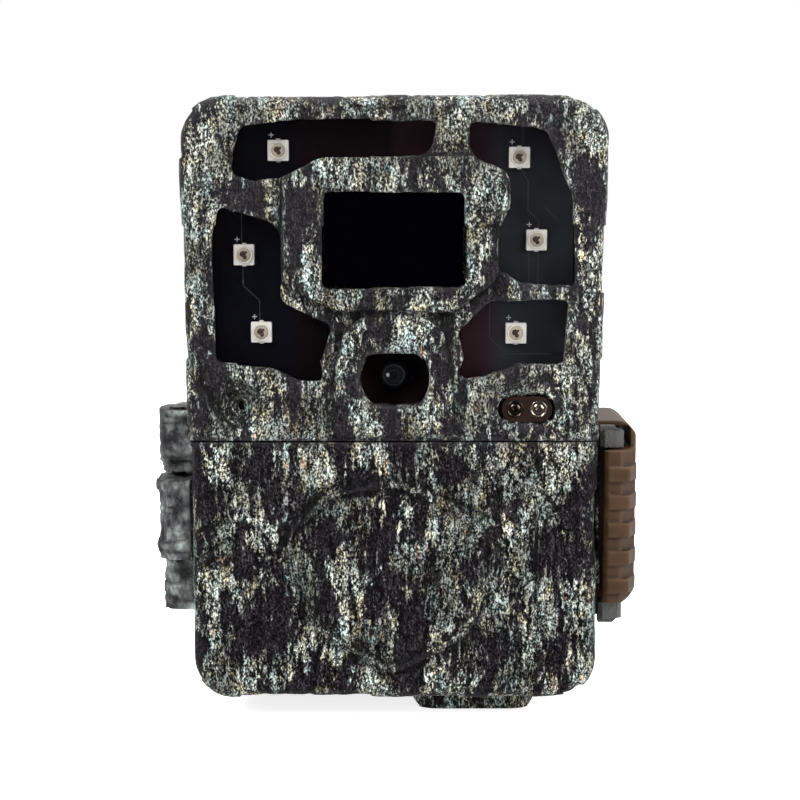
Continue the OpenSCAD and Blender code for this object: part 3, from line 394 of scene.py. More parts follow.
def barked(mesh, passes, cracks, rings, sharp, back):
    """Softens a skin's edges, but for its flat faces at the height sharp and the depth back, and presses in
    the bark, its long cracks, given as ends and half width, and its round grooves, given as centre and
    radius."""
    bm = bmesh.new()
    bm.from_mesh(mesh)
    for vert in bm.verts:
        if abs(vert.co.z / mm - sharp) < flat_snap:
            vert.co.z = sharp * mm
        if abs(vert.co.y / mm - back) < flat_snap:
            vert.co.y = back * mm
    softened(bm, [v for v in bm.verts if abs(v.co.z / mm - sharp) > flat_margin
                  and abs(v.co.y / mm - back) > flat_margin], passes)
    hollow = marked(bm)
    for vert in bm.verts:
        x, z = vert.co.x / mm, vert.co.z / mm
        from_sharp, from_back = abs(z - sharp), abs(vert.co.y / mm - back)
        sink = bark_height(vert.co)
        if from_sharp < on_flat or from_back < on_flat:
            sink *= flat_share
        elif from_sharp > flat_margin and from_back > flat_margin:
            sink += stepped(vert.co, vert.normal)
        if vert.normal.y < 0.1:
            near = min(from_line(x, z, a, b) / half for a, b, half in cracks)
            for centre, radius in rings:
                near = min(near, abs(math.hypot(x - centre[0], z - centre[1]) - radius) / crack_half)
            # Grooves are marked as hollows too, so the print paints shade into them.
            if near < 1.0:
                sink -= groove_deep * (1.0 - near)
                vert[hollow] = max(vert[hollow], 1.0 - near * near)
        vert.co += vert.normal * sink * mm
    bpy.data.meshes.remove(mesh)
    return bm


def levelled(mesh, low, high):
    """Brings the ground inside a box, in millimetres, up to the front of that box."""
    for vert in mesh.vertices:
        if all(a < c < b for a, c, b in zip(low, vert.co / mm, high)):
            vert.co.y = low[1] * mm


def bark_shell(node, name, body, passes, material, cracks, rings, sharp, back, hollows=()):
    """A camouflage shell: the CAD solid with softened edges, its hollows filled and the bark pressed in."""
    skin = voxel_skin(merged_copy(node), name, skin_voxel)
    for low, high in hollows:
        levelled(skin, low, high)
    shell = to_mesh(barked(skin, passes, cracks, rings, sharp, back), name)
    piece = new_piece(name, shell, body, material)
    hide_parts(node)
    return piece


mic_low, mic_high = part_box("microphone")
mic_at = ((mic_low.x + mic_high.x) / 2 / mm, (mic_low.z + mic_high.z) / 2 / mm)
side_port = (mic_at[0] - 1.3, mic_at[1] + 3.4)
head_rings = [(mic_at, 4.0), (mic_at, 2.4), (side_port, 1.7)]
head_lines = [((-37.9, 69.2), (-32.3, 57.6)), ((-36.5, 67.6), (-30.7, 57.6)), ((16.2, 102.1), (22.6, 101.7)),
              ((16.2, 99.0), (20.0, 99.2)), ((20.0, 99.2), (20.0, 92.6)), ((-16.0, 96.0), (-14.0, 95.8)),
              ((35.0, 75.0), (38.5, 66.0)), ((-8.0, 122.0), (2.0, 121.4))]
arch_foot = [(-12.2, 59.5), (-11.8, 72.0), (-10.4, 78.6), (-6.4, 82.4), (6.4, 82.4), (10.4, 78.6),
             (11.8, 72.0), (12.2, 59.5)]
head_cracks = [(a, b, crack_half) for a, b in head_lines]
head_cracks += [(a, b, foot_half) for a, b in zip(arch_foot, arch_foot[1:])]
head_inside = ((-38.0, -29.2, 59.9), (38.0, -15.0, 121.4))
arch_hollow = ((-10.6, -31.8, 58.3), (10.6, -30.5, 79.4))
head_print = bark_print("bark_head", [(bare_inside, [head_inside])], bare=0.485, gain=0.95, drift=159.0)
head_low, head_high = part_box("front_fascia")
bark_shell("front_fascia", "fascia_shell", "case", 3, head_print, head_cracks, head_rings, head_low.z / mm,
           head_high.y / mm, [arch_hollow])

# Lower door: the hinged front cover, in the same moulded and printed bark, with a low raised rim in its
# middle. Its arm turns on the hinge pin at the left, and a rib at the right takes the latch hook.
door_lines = [((-39.9, 32.8), (-32.6, 37.6)), ((-37.4, 32.3), (-33.6, 34.4)), ((-39.4, 38.8), (-32.6, 41.4)),
              ((-35.7, 13.6), (-30.0, 20.5)), ((-18.0, 38.8), (-15.3, 32.2)), ((-9.0, 29.1), (-7.2, 20.5)),
              ((16.6, 19.1), (21.0, 18.1)), ((20.5, 6.3), (25.0, 10.5)), ((28.1, 44.6), (28.1, 24.2)),
              ((-17.9, 43.0), (-15.8, 46.2)), ((-15.8, 46.2), (-10.4, 48.9)), ((9.3, 46.5), (21.8, 40.6))]
door_cracks = [(a, b, crack_half) for a, b in door_lines]
door_inside = ((-37.6, -29.2, 7.5), (37.6, -15.0, 54.2))
door_print = bark_print("bark_door", [(bare_inside, [door_inside])], bare=0.515, gain=0.95, shine=0.05,
                        drift=318.0, deep=0.5)
door_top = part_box("door_shell")[1].z / mm
door_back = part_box("door_seal")[0].y / mm
door = bark_shell("door_shell", "door_cover", "door", 1, door_print, door_cracks, [], door_top, door_back)
knuckle_root = -41.0
knuckle = bmesh.new()
knuckle.from_mesh(door.data)
drawn_in(knuckle)
creased(knuckle, knuckle_root)
for face in knuckle.faces:
    face.material_index = int(face.calc_center_median().x < knuckle_root * mm)
knuckle.to_mesh(door.data)
knuckle.free()
door.data.materials.append(weathered)

# Smoked window panel: one glossy sheet of tinted plastic behind all four windows.
# It lies between the fascia and the LED board, and the infrared light goes through it.
smoke, tree, surface, place = shader("smoked_window")
haze = stretched_noise(tree, place, (18, 18, 18), 2.0, 0.5)
tree.links.new(ramp(tree, haze, [(0.3, (0.0050, 0.0042, 0.0068)), (0.7, (0.0070, 0.0058, 0.0092))]),
               surface.inputs["Base Color"])
tree.links.new(spread(tree, haze, 0.3, 0.7, 0.05, 0.07), surface.inputs["Roughness"])
surface.inputs["Alpha"].default_value = 0.12
surface.inputs["IOR"].default_value = 2.0


def dress(node, material):
    """Gives a CAD node its finish."""
    slots = nodes[node].data.materials
    slots.clear()
    slots.append(material)


dress("led_window", smoke)

# Infrared LED board: a black lacquered circuit board that fills the head, with faint traces between the LEDs.
# Its colour is painted paler at the right and reddish between the two groups of LEDs, both painted
# reflections.
board_span = 80.0
strip_thick = 0.06


def lacquered(name, tones):
    """Smooth board lacquer, whose colour goes by x: tones are (x in millimetres, colour)."""
    material, tree, surface, place = shader(name)
    across = tree.nodes.new("ShaderNodeSeparateXYZ")
    tree.links.new(place, across.inputs[0])
    share = maths(tree, "MULTIPLY_ADD", across.outputs["X"], 1.0 / (board_span * mm), 0.5)
    cloud = spread(tree, stretched_noise(tree, place, (15, 15, 15), 2.0, 0.5), 0.35, 0.65, 0.7, 1.3)
    colour = ramp(tree, share, [(0.5 + x / board_span, tone) for x, tone in tones])
    tree.links.new(tinted(tree, colour, cloud), surface.inputs["Base Color"])
    surface.inputs["Roughness"].default_value = 0.4
    surface.inputs["Specular IOR Level"].default_value = 0.02
    return material


black_lacquer = (0.0016, 0.0023, 0.0052)
dark_red = (0.005, 0.0018, 0.0019)
painted_reflection_red = (0.026, 0.011, 0.013)
painted_reflection_grey = (0.023, 0.025, 0.030)
# The grey at the right end and the reds between the groups of LEDs are painted reflections on the black
# lacquer.
led_lacquer = lacquered("led_lacquer", [
    (-20.6, black_lacquer), (-18.4, dark_red), (-1.0, dark_red), (1.0, painted_reflection_red), (17.6, painted_reflection_red),
    (21.4, painted_reflection_grey)])
dress("led_board", led_lacquer)
lacquer = lacquered("board_lacquer", [(-1.0, black_lacquer), (1.0, black_lacquer)])
for board in ("main_board", "sensor_board"):
    dress(board, lacquer)


def solids(node):
    """Centre and size of each separate solid in a CAD node, from the top down."""
    bm = merged_copy(node)
    seen = set()
    found = []
    for start in bm.verts:
        if start in seen:
            continue
        stack, island = [start], []
        seen.add(start)
        while stack:
            vert = stack.pop()
            island.append(vert.co)
            for edge in vert.link_edges:
                other = edge.other_vert(vert)
                if other not in seen:
                    seen.add(other)
                    stack.append(other)
        low = Vector([min(c[i] for c in island) for i in range(3)])
        high = Vector([max(c[i] for c in island) for i in range(3)])
        found.append(((low + high) / 2, high - low))
    bm.free()
    return sorted(found, key=lambda s: -s[0].z)


def strip(bm, a, b, width):
    """Adds a flat strip from a to b, both (x, z) in millimetres, lying on the front of the LED board."""
    a, b = Vector((a[0], 0, a[1])) * mm, Vector((b[0], 0, b[1])) * mm
    along = b - a
    turn = Matrix.Rotation(-math.atan2(along.z, along.x), 4, "Y")
    place = Matrix.Translation((a + b) / 2 + Vector((0, board_face, 0))) @ turn
    size = Matrix.Diagonal((along.length + width * mm, strip_thick * mm, width * mm, 1.0))
    bmesh.ops.create_cube(bm, size=1.0, matrix=place @ size)


def moulded(name, colour, rough, grain, variation, shine=0.3):
    """Plain moulded plastic with a fine spark-eroded grain and a faint change of tone."""
    material, tree, surface, place = shader(name)
    tone = stretched_noise(tree, place, (6, 6, 6), 4.0, 0.6)
    fine = stretched_noise(tree, place, (grain, grain, grain), 2.0, 0.5)
    low = tuple(c * (1.0 - variation) for c in colour)
    high = tuple(min(1.0, c * (1.0 + variation)) for c in colour)
    tree.links.new(ramp(tree, tone, [(0.3, low), (0.7, high)]), surface.inputs["Base Color"])
    tree.links.new(spread(tree, fine, 0.2, 0.8, rough - 0.08, rough + 0.08), surface.inputs["Roughness"])
    surface.inputs["Specular IOR Level"].default_value = shine
    bumped(tree, surface, fine, 0.12, 0.05 * mm)
    return material


led_at = solids("ir_leds")
board_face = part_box("led_board")[0].y
left_leds = [centre for centre, size in led_at if centre.x < 0]
right_leds = [centre for centre, size in led_at if centre.x > 0]
trace_wide = 0.2
trace_runs = [
    (left_leds[1], [(-0.5, 2.6), (-0.5, 9.0)]),
    (left_leds[1], [(-0.3, -2.6), (-0.3, -6.1), (2.9, -9.0), (2.9, -13.0)]),
    (right_leds[0], [(0.7, 2.6), (0.7, 6.0)]),
    (right_leds[0], [(0.6, -2.6), (1.8, -4.5), (1.8, -10.3), (3.9, -12.2), (3.9, -13.6)]),
    (right_leds[1], [(-1.4, -2.6), (-1.4, -9.0)]), (right_leds[1], [(0.4, -2.6), (0.4, -9.0)]),
    (right_leds[1], [(1.6, 6.4), (4.4, 3.6)]),
    (right_leds[2], [(-5.2, 9.0), (-5.2, -1.0), (-1.6, -4.2), (8.6, -4.2)])]
traces = bmesh.new()
for hub, run in trace_runs:
    points = [(hub.x / mm + x, hub.z / mm + z) for x, z in run]
    for a, b in zip(points, points[1:]):
        strip(traces, a, b, trace_wide)
sign_arm = 0.42
sign_wide = 0.14
signs = bmesh.new()
for centre, size in led_at:
    x, z = centre.x / mm - 1.4, centre.z / mm + 3.0
    strip(signs, (x - sign_arm, z), (x + sign_arm, z), sign_wide)
    strip(signs, (x, z - sign_arm), (x, z + sign_arm), sign_wide)
# Strips in the board's lacquer carry its colours, the painted reflections among them, out to the edges of the
# windows.
foil = bmesh.new()
for way in (-1, 1):
    strip(foil, (way * 33.3, 71.5), (way * 33.3, 116.0), 4.0)
    strip(foil, (way * 15.2, 70.5), (way * 15.2, 78.0), 3.6)
trace_lacquer = moulded("trace_lacquer", (0.052, 0.054, 0.059), 0.4, 0.3, 0.2, 0.05)
sign_ink = moulded("sign_ink", (0.85, 0.85, 0.82), 0.6, 0.3, 0.1)
new_piece("board_foil", to_mesh(foil, "board_foil", False), "case", led_lacquer)
new_piece("board_traces", to_mesh(traces, "board_traces", False), "case", trace_lacquer)
new_piece("board_signs", to_mesh(signs, "board_signs", False), "case", sign_ink)

# Infrared LEDs: pale ceramic packages soldered to the board, each with a bright round cup and a dark chip.
# A clear dome would cover the cup, and at this size it shows only as a highlight.
def boxed(bm, centre, size, bevel=0.0):
    """Adds a block to a bmesh, with bevelled edges if bevel is given."""
    place = Matrix.Translation(centre) @ Matrix.Diagonal((*size, 1.0))
    verts = bmesh.ops.create_cube(bm, size=1.0, matrix=place)["verts"]
    if bevel:
        edges = list({e for v in verts for e in v.link_edges})
        bmesh.ops.bevel(bm, geom=edges, offset=bevel, segments=2, affect="EDGES", profile=0.5, material=-1)


def turned(bm, centre, profile, steps, axis="Y"):
    """Adds a turned shape: profile is (radius, distance along the axis) points, spun about that axis."""
    along = Vector((0, 1, 0)) if axis == "Y" else Vector((0, 0, 1))
    verts = [bm.verts.new(centre + Vector((r, 0, 0)) + along * d) for r, d in profile]
    edges = [bm.edges.new(pair) for pair in zip(verts, verts[1:])]
    bmesh.ops.spin(bm, geom=verts + edges, cent=centre, axis=along, angle=math.tau, steps=steps,
                   use_merge=True)


def finished(bm):
    """Joins doubled points and turns every face outwards."""
    bmesh.ops.remove_doubles(bm, verts=bm.verts, dist=1e-7)
    bmesh.ops.recalc_face_normals(bm, faces=bm.faces)
    return bm


package_share = 0.64
chip_drops = [(-0.22, 0.18, 0.66), (0.16, -0.46, 0.44), (0.42, 0.50, 0.26)]
packages = bmesh.new()
cups = bmesh.new()
wells = bmesh.new()
chips = bmesh.new()
for centre, size in led_at:
    side = size.x
    deep = size.y * package_share
    seat = centre + Vector((0, (size.y - deep) / 2, 0))
    boxed(packages, seat, (side, deep, side), 0.22 * mm)
    for way in (-1, 1):
        lead = centre + Vector((0, size.y * 0.40, way * side * 0.5))
        boxed(packages, lead, (0.8 * mm, size.y * 0.2, 0.5 * mm))
    hub = seat - Vector((0, deep / 2, 0))
    r = side * 0.40
    turned(cups, hub, [(r * 1.08, 0.0), (r * 1.06, -0.32 * mm), (r * 0.96, -0.42 * mm),
                       (r * 0.88, -0.30 * mm), (r * 0.80, 0.0), (r * 1.08, 0.0)], 32)
    turned(wells, hub, [(0.0, 0.0), (r * 0.84, 0.0), (r * 0.82, -0.16 * mm), (r * 0.40, -0.08 * mm),
                        (0.0, -0.08 * mm)], 32)
    for x, z, wide in chip_drops:
        drop = hub + Vector((x * mm, -0.04 * mm, z * mm))
        turned(chips, drop, [(0.0, 0.0), (wide * mm, 0.0), (wide * 0.8 * mm, -0.14 * mm),
                             (0.0, -0.18 * mm)], 20)
ceramic = moulded("led_ceramic", (0.93, 0.90, 0.85), 0.45, 0.2, 0.06, 0.5)
packaged = new_piece("led_packages", to_mesh(finished(packages), "led_packages", False), "case",
                     ceramic)
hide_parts("ir_leds")
new_piece("led_cups", to_mesh(finished(cups), "led_cups"), "case",
          moulded("led_cup", (0.80, 0.77, 0.70), 0.3, 0.2, 0.2, 0.6))
new_piece("led_wells", to_mesh(finished(wells), "led_wells"), "case",
          moulded("led_well", (0.42, 0.36, 0.29), 0.3, 0.2, 0.4, 0.6))
new_piece("led_chips", to_mesh(finished(chips), "led_chips"), "case",
          moulded("led_chip", (0.050, 0.035, 0.026), 0.25, 0.2, 0.3))

# Motion sensor: a black lens sheet of thin plastic, let into the raised frame.
# Behind it stands the sensor itself, in a pressed and tinned metal can.
cloudiness = 0.12


def metal(name, colour, rough, scratch=(0.2, 0.2, 6.0)):
    """Bare or plated metal with fine scratches and a little cloudiness."""
    material, tree, surface, place = shader(name)
    cloud = stretched_noise(tree, place, (4, 4, 4), 4.0, 0.6)
    lines = stretched_noise(tree, place, scratch, 3.0, 0.6)
    low = tuple(c * (1.0 - cloudiness) for c in colour)
    high = tuple(min(1.0, c * (1.0 + cloudiness)) for c in colour)
    polish = spread(tree, lines, 0.2, 0.8, max(0.03, rough - 0.1), rough + 0.1)
    tree.links.new(ramp(tree, cloud, [(0.3, low), (0.7, high)]), surface.inputs["Base Color"])
    tree.links.new(polish, surface.inputs["Roughness"])
    surface.inputs["Metallic"].default_value = 1.0
    bumped(tree, surface, lines, 0.08, 0.03 * mm)
    return material


dress("pir_window", moulded("sensor_sheet", (0.0003, 0.0002, 0.0008), 0.25, 0.35, 0.2, 0.01))
tin = metal("pressed_tin", (0.62, 0.63, 0.64), 0.38)
dress("pir_sensor", tin)

# Lens hood: a black moulded funnel with baffle steps, seen through the flattened opening in the arch.
# It ends on the threaded lens barrel, which is set in the holder on the image sensor board.
def front_centre(low, high):
    """Middle of the front of a box."""
    return Vector(((low.x + high.x) / 2, low.y, (low.z + high.z) / 2))


black = moulded("black_plastic", (0.006, 0.0055, 0.0055), 0.45, 0.25, 0.3, 0.2)
hood_low, hood_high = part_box("lens_hood")
hood_at = front_centre(hood_low, hood_high)
hood_r = (hood_high.x - hood_low.x) / 2
hood_deep = hood_high.y - hood_low.y
flange = 1.2 * mm
baffles = []
for i in range(4):
    r = hood_r - 2.2 * mm - i * 0.84 * mm
    down = hood_deep * (0.05 + i * 0.22)
    baffles += [(r, down), (r - 0.5 * mm, down + 0.52 * mm)]
hood = bmesh.new()
turned(hood, hood_at, [(hood_r, flange), (hood_r, 0.0), (hood_r - 2.1 * mm, 0.0)] + baffles +
       [(3.5 * mm, hood_deep), (4.8 * mm, hood_deep), (hood_r - 1.0 * mm, flange), (hood_r, flange)], 64)
hood_black = moulded("hood_black", (0.0026, 0.0011, 0.0012), 0.42, 0.2, 0.3, 0.03)
funnel = new_piece("hood_funnel", to_mesh(finished(hood), "hood_funnel", False), "case",
                   hood_black)
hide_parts("lens_hood")
for part in ("lens_barrel", "lens_holder"):
    dress(part, black)

# Front lens: a small crowned glass with a bluish coating over a dark iris, set in the end of the barrel.
# The rose coloured cut-off filter slides in the holder behind it.
glass_low, glass_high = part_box("lens_glass")
glass_at = front_centre(glass_low, glass_high)
glass_r = (glass_high.x - glass_low.x) / 2
glass_back = 2.8 * mm
lens = bmesh.new()
turned(lens, glass_at, [(0.0, 0.05 * mm), (glass_r * 0.35, 0.12 * mm), (glass_r * 0.7, 0.36 * mm),
                        (glass_r * 0.98, 0.9 * mm), (glass_r * 0.98, glass_back), (0.0, glass_back)], 48)
coated, tree, surface, place = shader("coated_glass")
centred = tree.nodes.new("ShaderNodeMapping")
centred.inputs["Location"].default_value = [-c for c in glass_at]
tree.links.new(place, centred.inputs["Vector"])
away = tree.nodes.new("ShaderNodeVectorMath")
away.operation = "LENGTH"
tree.links.new(centred.outputs["Vector"], away.inputs[0])
rings = maths(tree, "DIVIDE", away.outputs["Value"], glass_r)
# The pale rings in the glass's colour are painted reflections from inside the lens.
tree.links.new(ramp(tree, rings, [
    (0.0, (0.004, 0.004, 0.006)), (0.26, (0.005, 0.006, 0.008)), (0.30, (0.030, 0.034, 0.034)),
    (0.36, (0.008, 0.010, 0.012)), (0.55, (0.014, 0.018, 0.020)), (0.60, (0.045, 0.050, 0.048)),
    (0.66, (0.010, 0.011, 0.012)), (1.0, (0.006, 0.006, 0.007))]), surface.inputs["Base Color"])
surface.inputs["Roughness"].default_value = 0.04
surface.inputs["IOR"].default_value = 1.6
surface.inputs["Coat Weight"].default_value = 0.6
surface.inputs["Coat Tint"].default_value = (0.75, 0.85, 1.0, 1.0)
front_lens = new_piece("front_lens", to_mesh(finished(lens), "front_lens"), "case", coated)
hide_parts("lens_glass")
dress("ir_cut_filter", moulded("filter_coating", (0.10, 0.035, 0.070), 0.08, 0.4, 0.2))

# Status window: a bronze tinted oval of clear plastic, let into the fascia.
# Behind it are the indicator lamp and the light sensor, each under a round moulded lens.
dress("status_window", moulded("bronze_tint", (0.017, 0.0095, 0.0075), 0.18, 0.4, 0.3, 0.25))
for node, name, tone in (("status_led", "lamp_lens", (0.07, 0.052, 0.044)),
                         ("light_sensor", "light_lens", (0.36, 0.30, 0.24))):
    low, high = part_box(node)
    r = (high.x - low.x) / 2
    deep = high.y - low.y
    dome = bmesh.new()
    turned(dome, front_centre(low, high), [
        (0.0, 0.02 * mm), (r * 0.40, 0.10 * mm), (r * 0.66, 0.34 * mm), (r * 0.74, 0.50 * mm),
        (r * 0.80, 0.12 * mm), (r * 0.92, 0.02 * mm), (r * 0.99, 0.14 * mm), (r * 0.99, deep),
        (0.0, deep)], 40)
    lamp = new_piece(name, to_mesh(finished(dome), name), "case", metal(name, tone, 0.22))
    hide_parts(node)
dress("microphone", black)

# Control panel: the plain dark plate behind the door, moulded in plastic and held by small steel screws.
# Screen, keys, power switch and card slot are set in it. The pins and contacts of the case are finished here
# too.
panel = moulded("panel_plastic", (0.022, 0.022, 0.024), 0.55, 0.22, 0.25)
dress("control_panel", panel)
for part in ("key_switches", "switch_body", "dc_jack"):
    dress(part, black)
steel = metal("bright_steel", (0.58, 0.58, 0.58), 0.32)
for part in ("panel_screws", "case_screws", "bracket_screws", "dc_cap_pin"):
    dress(part, steel)
oxide = metal("black_steel", (0.045, 0.044, 0.043), 0.45)
for part in ("hinge_pin", "latch_pin"):
    dress(part, oxide)
for part in ("lcd_frame", "sd_socket", "tray_contacts", "bay_contacts"):
    dress(part, tin)

# Screen: a dark glass display, held in a pressed metal frame.
# It stands behind an opening in the control panel.
glassy, tree, surface, place = shader("screen_glass")
shimmer = stretched_noise(tree, place, (14, 14, 10), 2.0, 0.5)
tree.links.new(ramp(tree, shimmer, [(0.3, (0.006, 0.008, 0.011)), (0.7, (0.011, 0.014, 0.020))]),
               surface.inputs["Base Color"])
surface.inputs["Roughness"].default_value = 0.08
dress("lcd_screen", glassy)

# Keys: grey moulded caps, with the enter key and the power knob in orange, each key with a raised mark.
# They stand on small switches on the main board, and each of them travels by itself.
grey_key = moulded("key_plastic", (0.16, 0.165, 0.17), 0.5, 0.2, 0.2)
orange = moulded("orange_plastic", (0.42, 0.11, 0.025), 0.45, 0.2, 0.2)
mark_ink = moulded("key_mark", (0.62, 0.62, 0.60), 0.5, 0.2, 0.1)
mark_thick = 0.16 * mm
for name, spin in (("up", 0), ("left", 90), ("down", 180), ("right", 270), ("mode", None), ("enter", None)):
    low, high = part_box("key_" + name)
    hub = front_centre(low, high)
    dress("key_" + name, orange if name == "enter" else grey_key)
    mark = bmesh.new()
    if spin is not None:
        place = Matrix.Translation(hub) @ Matrix.Rotation(math.radians(-spin), 4, "Y")
        place = place @ Matrix.Rotation(math.radians(90), 4, "X")
        bmesh.ops.create_cone(mark, cap_ends=True, segments=3, radius1=1.2 * mm, radius2=1.1 * mm,
                              depth=mark_thick, matrix=place)
    elif name == "mode":
        for rise in (-0.8, 0.0, 0.8):
            boxed(mark, hub + Vector((0, 0, rise * mm)), (2.4 * mm, mark_thick, 0.36 * mm), 0.05 * mm)
    else:
        turned(mark, hub, [(0.8 * mm, 0.0), (0.84 * mm, -0.09 * mm), (1.16 * mm, -0.09 * mm), (1.2 * mm, 0.0),
                           (0.8 * mm, 0.0)], 32)
    mark_mesh = to_mesh(finished(mark), "mark_" + name, False)
    new_piece("mark_" + name, mark_mesh, "key_%s_body" % name, mark_ink)
dress("power_knob", orange)

# Memory card: a flat blue plastic card, on edge in its metal socket.
# It is pushed in to let it go, and then stands out to be gripped.
dress("sd_card", moulded("card_plastic", (0.018, 0.045, 0.120), 0.45, 0.3, 0.2))

# Power inlet cap and door seal: both soft black rubber.
# The cap turns on a small steel pin, and the seal is glued round the opening behind the door.
rubber = moulded("black_rubber", (0.014, 0.014, 0.014), 0.75, 0.3, 0.3)
dress("dc_cap", rubber)
dress("door_seal", rubber)

# Tripod insert: a turned brass sleeve, pressed into the boss under the housing.
# Its thread has 20 turns to the inch, made here as fine grooves.
insert_low, insert_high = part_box("tripod_insert")
insert_at = Vector(((insert_low.x + insert_high.x) / 2, (insert_low.y + insert_high.y) / 2, 0))
insert_r = (insert_high.x - insert_low.x) / 2
tall = insert_high.z - insert_low.z
pitch = 1.27 * mm
crest_r = 2.85 * mm
root_r = 3.17 * mm
thread = [(3.5 * mm, 0.0)]
rise = 0.25 * mm
while rise < tall - pitch:
    thread += [(crest_r, rise), (crest_r, rise + 0.25 * pitch), (root_r, rise + 0.5 * pitch),
               (root_r, rise + 0.75 * pitch)]
    rise += pitch
sleeve = bmesh.new()
turned(sleeve, insert_at, [(insert_r, tall), (insert_r, 0.0)] + thread + [(root_r, tall), (insert_r, tall)],
       48, "Z")
brass = metal("turned_brass", (0.60, 0.43, 0.17), 0.28, (6.0, 6.0, 0.2))
threaded = new_piece("threaded_insert", to_mesh(finished(sleeve), "threaded_insert", False), "case",
                     brass)
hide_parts("tripod_insert")

# Latch lever: one brown plastic moulding with raised bands across its grip. Their edges are painted paler, as
# wear and highlight, and the hollows between them are painted darker as shade. It turns on a steel pin at its
# back edge, between the two grey ears of the housing.
brown = moulded("brown_plastic", (0.057, 0.029, 0.0145), 0.46, 0.22, 0.18, 0.25)
tree = brown.node_tree
finish = tree.nodes["Principled BSDF"].inputs["Base Color"]
# Painted highlight and wear on the band edges, and painted shade in the hollows between the bands.
bands = wear_and_shade(tree, finish.links[0].from_socket, "rim", 0.55, (0.120, 0.075, 0.046))
tree.links.new(wear_and_shade(tree, bands, "hollow", 0.80, (0.013, 0.0065, 0.0035)), finish)
lever_skin = bmesh.new()
lever_skin.from_mesh(voxel_skin(merged_copy("latch_lever"), "lever_moulding", 0.28 * mm))
softened(lever_skin, lever_skin.verts)
marked(lever_skin)
lever = new_piece("lever_moulding", to_mesh(lever_skin, "lever_moulding"), "latch", brown)
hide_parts("latch_lever")

# Battery tray: a black moulded drawer that holds eight cells in two rows.
# Spring plates at both ends join the cells, whose sleeves are printed metal film.
dress("battery_tray", panel)
cap_tone = (0.5, 0.5, 0.5)
dark_band = (0.035, 0.055, 0.045)
pale_band = (0.42, 0.43, 0.40)
sleeve_film, tree, surface, place = shader("cell_sleeve")
heights = tree.nodes.new("ShaderNodeSeparateXYZ")
tree.links.new(place, heights.inputs[0])
cell_low, cell_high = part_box("battery_cells")
climb = spread(tree, heights.outputs["Z"], cell_low.z, cell_high.z)
bands = ramp(tree, climb, [(0.0, cap_tone), (0.03, dark_band), (0.68, dark_band), (0.70, pale_band),
                           (0.94, pale_band), (0.97, cap_tone)])
print_grain = stretched_noise(tree, place, (3, 3, 10), 3.0, 0.6)
tree.links.new(mixed(tree, spread(tree, print_grain, 0.35, 0.75, 0.0, 0.35), bands, (0.08, 0.09, 0.08)),
               surface.inputs["Base Color"])
surface.inputs["Metallic"].default_value = 0.6
surface.inputs["Roughness"].default_value = 0.35
dress("battery_cells", sleeve_film)

# Tree bracket: a stiff black moulding, screwed to the back of the housing.
# Its teeth bite into the trunk, and a strap goes through its slot.
bracket = moulded("bracket_plastic", (0.018, 0.018, 0.019), 0.6, 0.3, 0.3)
dress("tree_bracket", bracket)
slot_wide, slot_long, slot_thick = 0.42 * mm, 1.9 * mm, 0.12 * mm
recesses = bmesh.new()
for node in ("bracket_screws", "case_screws"):
    for centre, size in solids(node):
        head = Vector((centre.x, centre.y + size.y / 2, centre.z))
        boxed(recesses, head, (slot_wide, slot_thick, slot_long))
        boxed(recesses, head, (slot_long, slot_thick, slot_wide))
new_piece("screw_recesses", to_mesh(recesses, "screw_recesses", False), "case",
          metal("screw_recess", (0.10, 0.10, 0.10), 0.5))

# Studio: a white floor and surround with three broad soft lamps, and a long lens a little above the object.
# Seen directly the surround is white. In a mirror it is dark in front, with one bright patch for the lens.
floor_mesh = bmesh.new()
bmesh.ops.create_grid(floor_mesh, x_segments=1, y_segments=1, size=1.0,
                      matrix=Matrix.Translation((0, 0.5, 0)) @ Matrix.Diagonal((3.0, 1.0, 1.0, 1.0)))
floor = bpy.data.objects.new("floor", to_mesh(floor_mesh, "floor", False))
bpy.context.scene.collection.objects.link(floor)
pale, tree, surface, place = shader("pale_floor")
surface.inputs["Base Color"].default_value = (0.86, 0.86, 0.86, 1.0)
surface.inputs["Roughness"].default_value = 0.9
surface.inputs["Specular IOR Level"].default_value = 0.0
rays = tree.nodes.new("ShaderNodeLightPath")
surface.inputs["Emission Color"].default_value = (1.0, 1.0, 1.0, 1.0)
glow = maths(tree, "MULTIPLY", rays.outputs["Is Camera Ray"], 0.8)
tree.links.new(glow, surface.inputs["Emission Strength"])
floor.data.materials.append(pale)
floor.visible_glossy = False

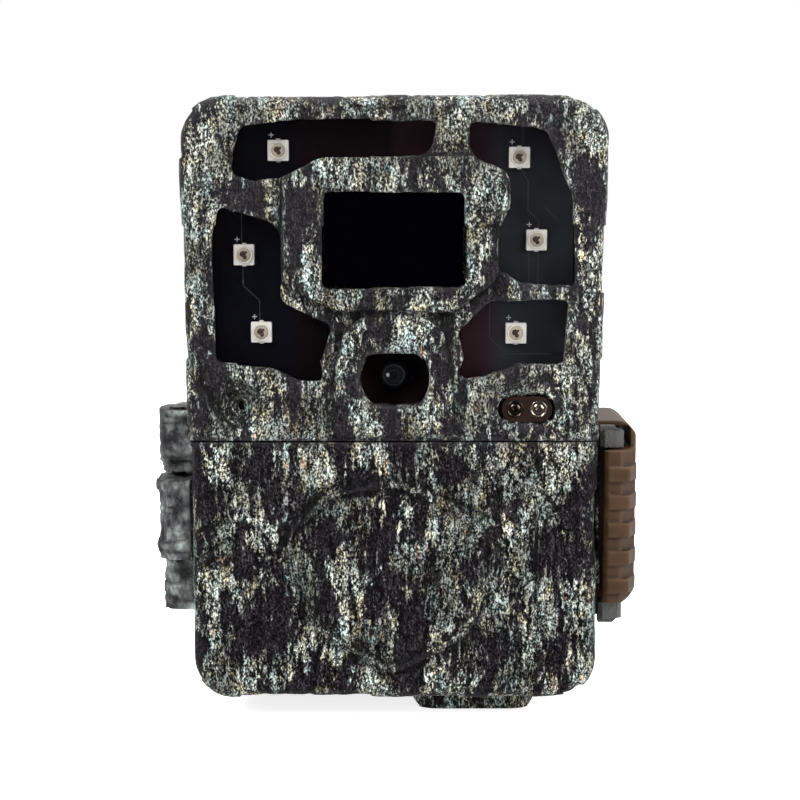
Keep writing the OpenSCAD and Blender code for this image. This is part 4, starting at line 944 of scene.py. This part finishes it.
world = bpy.data.worlds.new("studio")
world.use_nodes = True
bpy.context.scene.world = world
tree = world.node_tree
rays = tree.nodes.new("ShaderNodeLightPath")
sky = tree.nodes["Background"]
sky.inputs["Color"].default_value = (1.0, 1.0, 1.0, 1.0)
direct = maths(tree, "MAXIMUM", rays.outputs["Is Camera Ray"], rays.outputs["Is Transmission Ray"])
heading = tree.nodes.new("ShaderNodeSeparateXYZ")
tree.links.new(tree.nodes.new("ShaderNodeTexCoord").outputs["Generated"], heading.inputs[0])
mirrored = spread(tree, heading.outputs["Y"], -0.75, 0.2, 0.05, 1.0)
glint = maths(tree, "COMPARE", heading.outputs["X"], -0.28, 0.08)
glint = maths(tree, "MULTIPLY", glint, maths(tree, "COMPARE", heading.outputs["Z"], -0.10, 0.08))
mirrored = maths(tree, "MULTIPLY_ADD", glint, 4.0, mirrored)
level = spread(tree, direct, 0.0, 1.0, 0.26, 1.0)
choice = tree.nodes.new("ShaderNodeMix")
tree.links.new(rays.outputs["Is Glossy Ray"], choice.inputs["Factor"])
tree.links.new(level, choice.inputs["A"])
tree.links.new(mirrored, choice.inputs["B"])
tree.links.new(choice.outputs["Result"], sky.inputs["Strength"])
lamp_aim = Vector((0, 0, 60 * mm))


def softbox(name, place, size, power):
    """A broad soft lamp, aimed at the middle of the object."""
    lamp = bpy.data.lights.new(name, "AREA")
    lamp.shape = "RECTANGLE"
    lamp.size, lamp.size_y = size
    lamp.energy = power
    holder = bpy.data.objects.new(name, lamp)
    holder.location = place
    holder.rotation_euler = (lamp_aim - Vector(place)).to_track_quat("-Z", "Y").to_euler()
    bpy.context.scene.collection.objects.link(holder)


softbox("key_left", (-0.55, -0.60, 0.75), (0.45, 0.45), 10.0)
softbox("fill_right", (0.65, -0.45, 0.35), (0.4, 0.5), 5.5)
softbox("top", (0.0, 0.1, 0.9), (0.6, 0.5), 9.0)

face_centre = Vector((0.0, -30.8 * mm, 64.85 * mm))
pitch_down = math.radians(7.4)
seen_from = 350 * mm
camera_data = bpy.data.cameras.new("camera")
camera_data.lens = 80.6
camera_data.clip_start = 0.01
camera = bpy.data.objects.new("camera", camera_data)
camera.location = face_centre + Vector((0, -math.cos(pitch_down), math.sin(pitch_down))) * seen_from
aim = face_centre + Vector((1.23, 0, 0.40)) * mm
camera.rotation_euler = (aim - camera.location).to_track_quat("-Z", "Y").to_euler()
bpy.context.scene.collection.objects.link(camera)
bpy.context.scene.camera = camera
bpy.context.scene.view_settings.view_transform = "Standard"
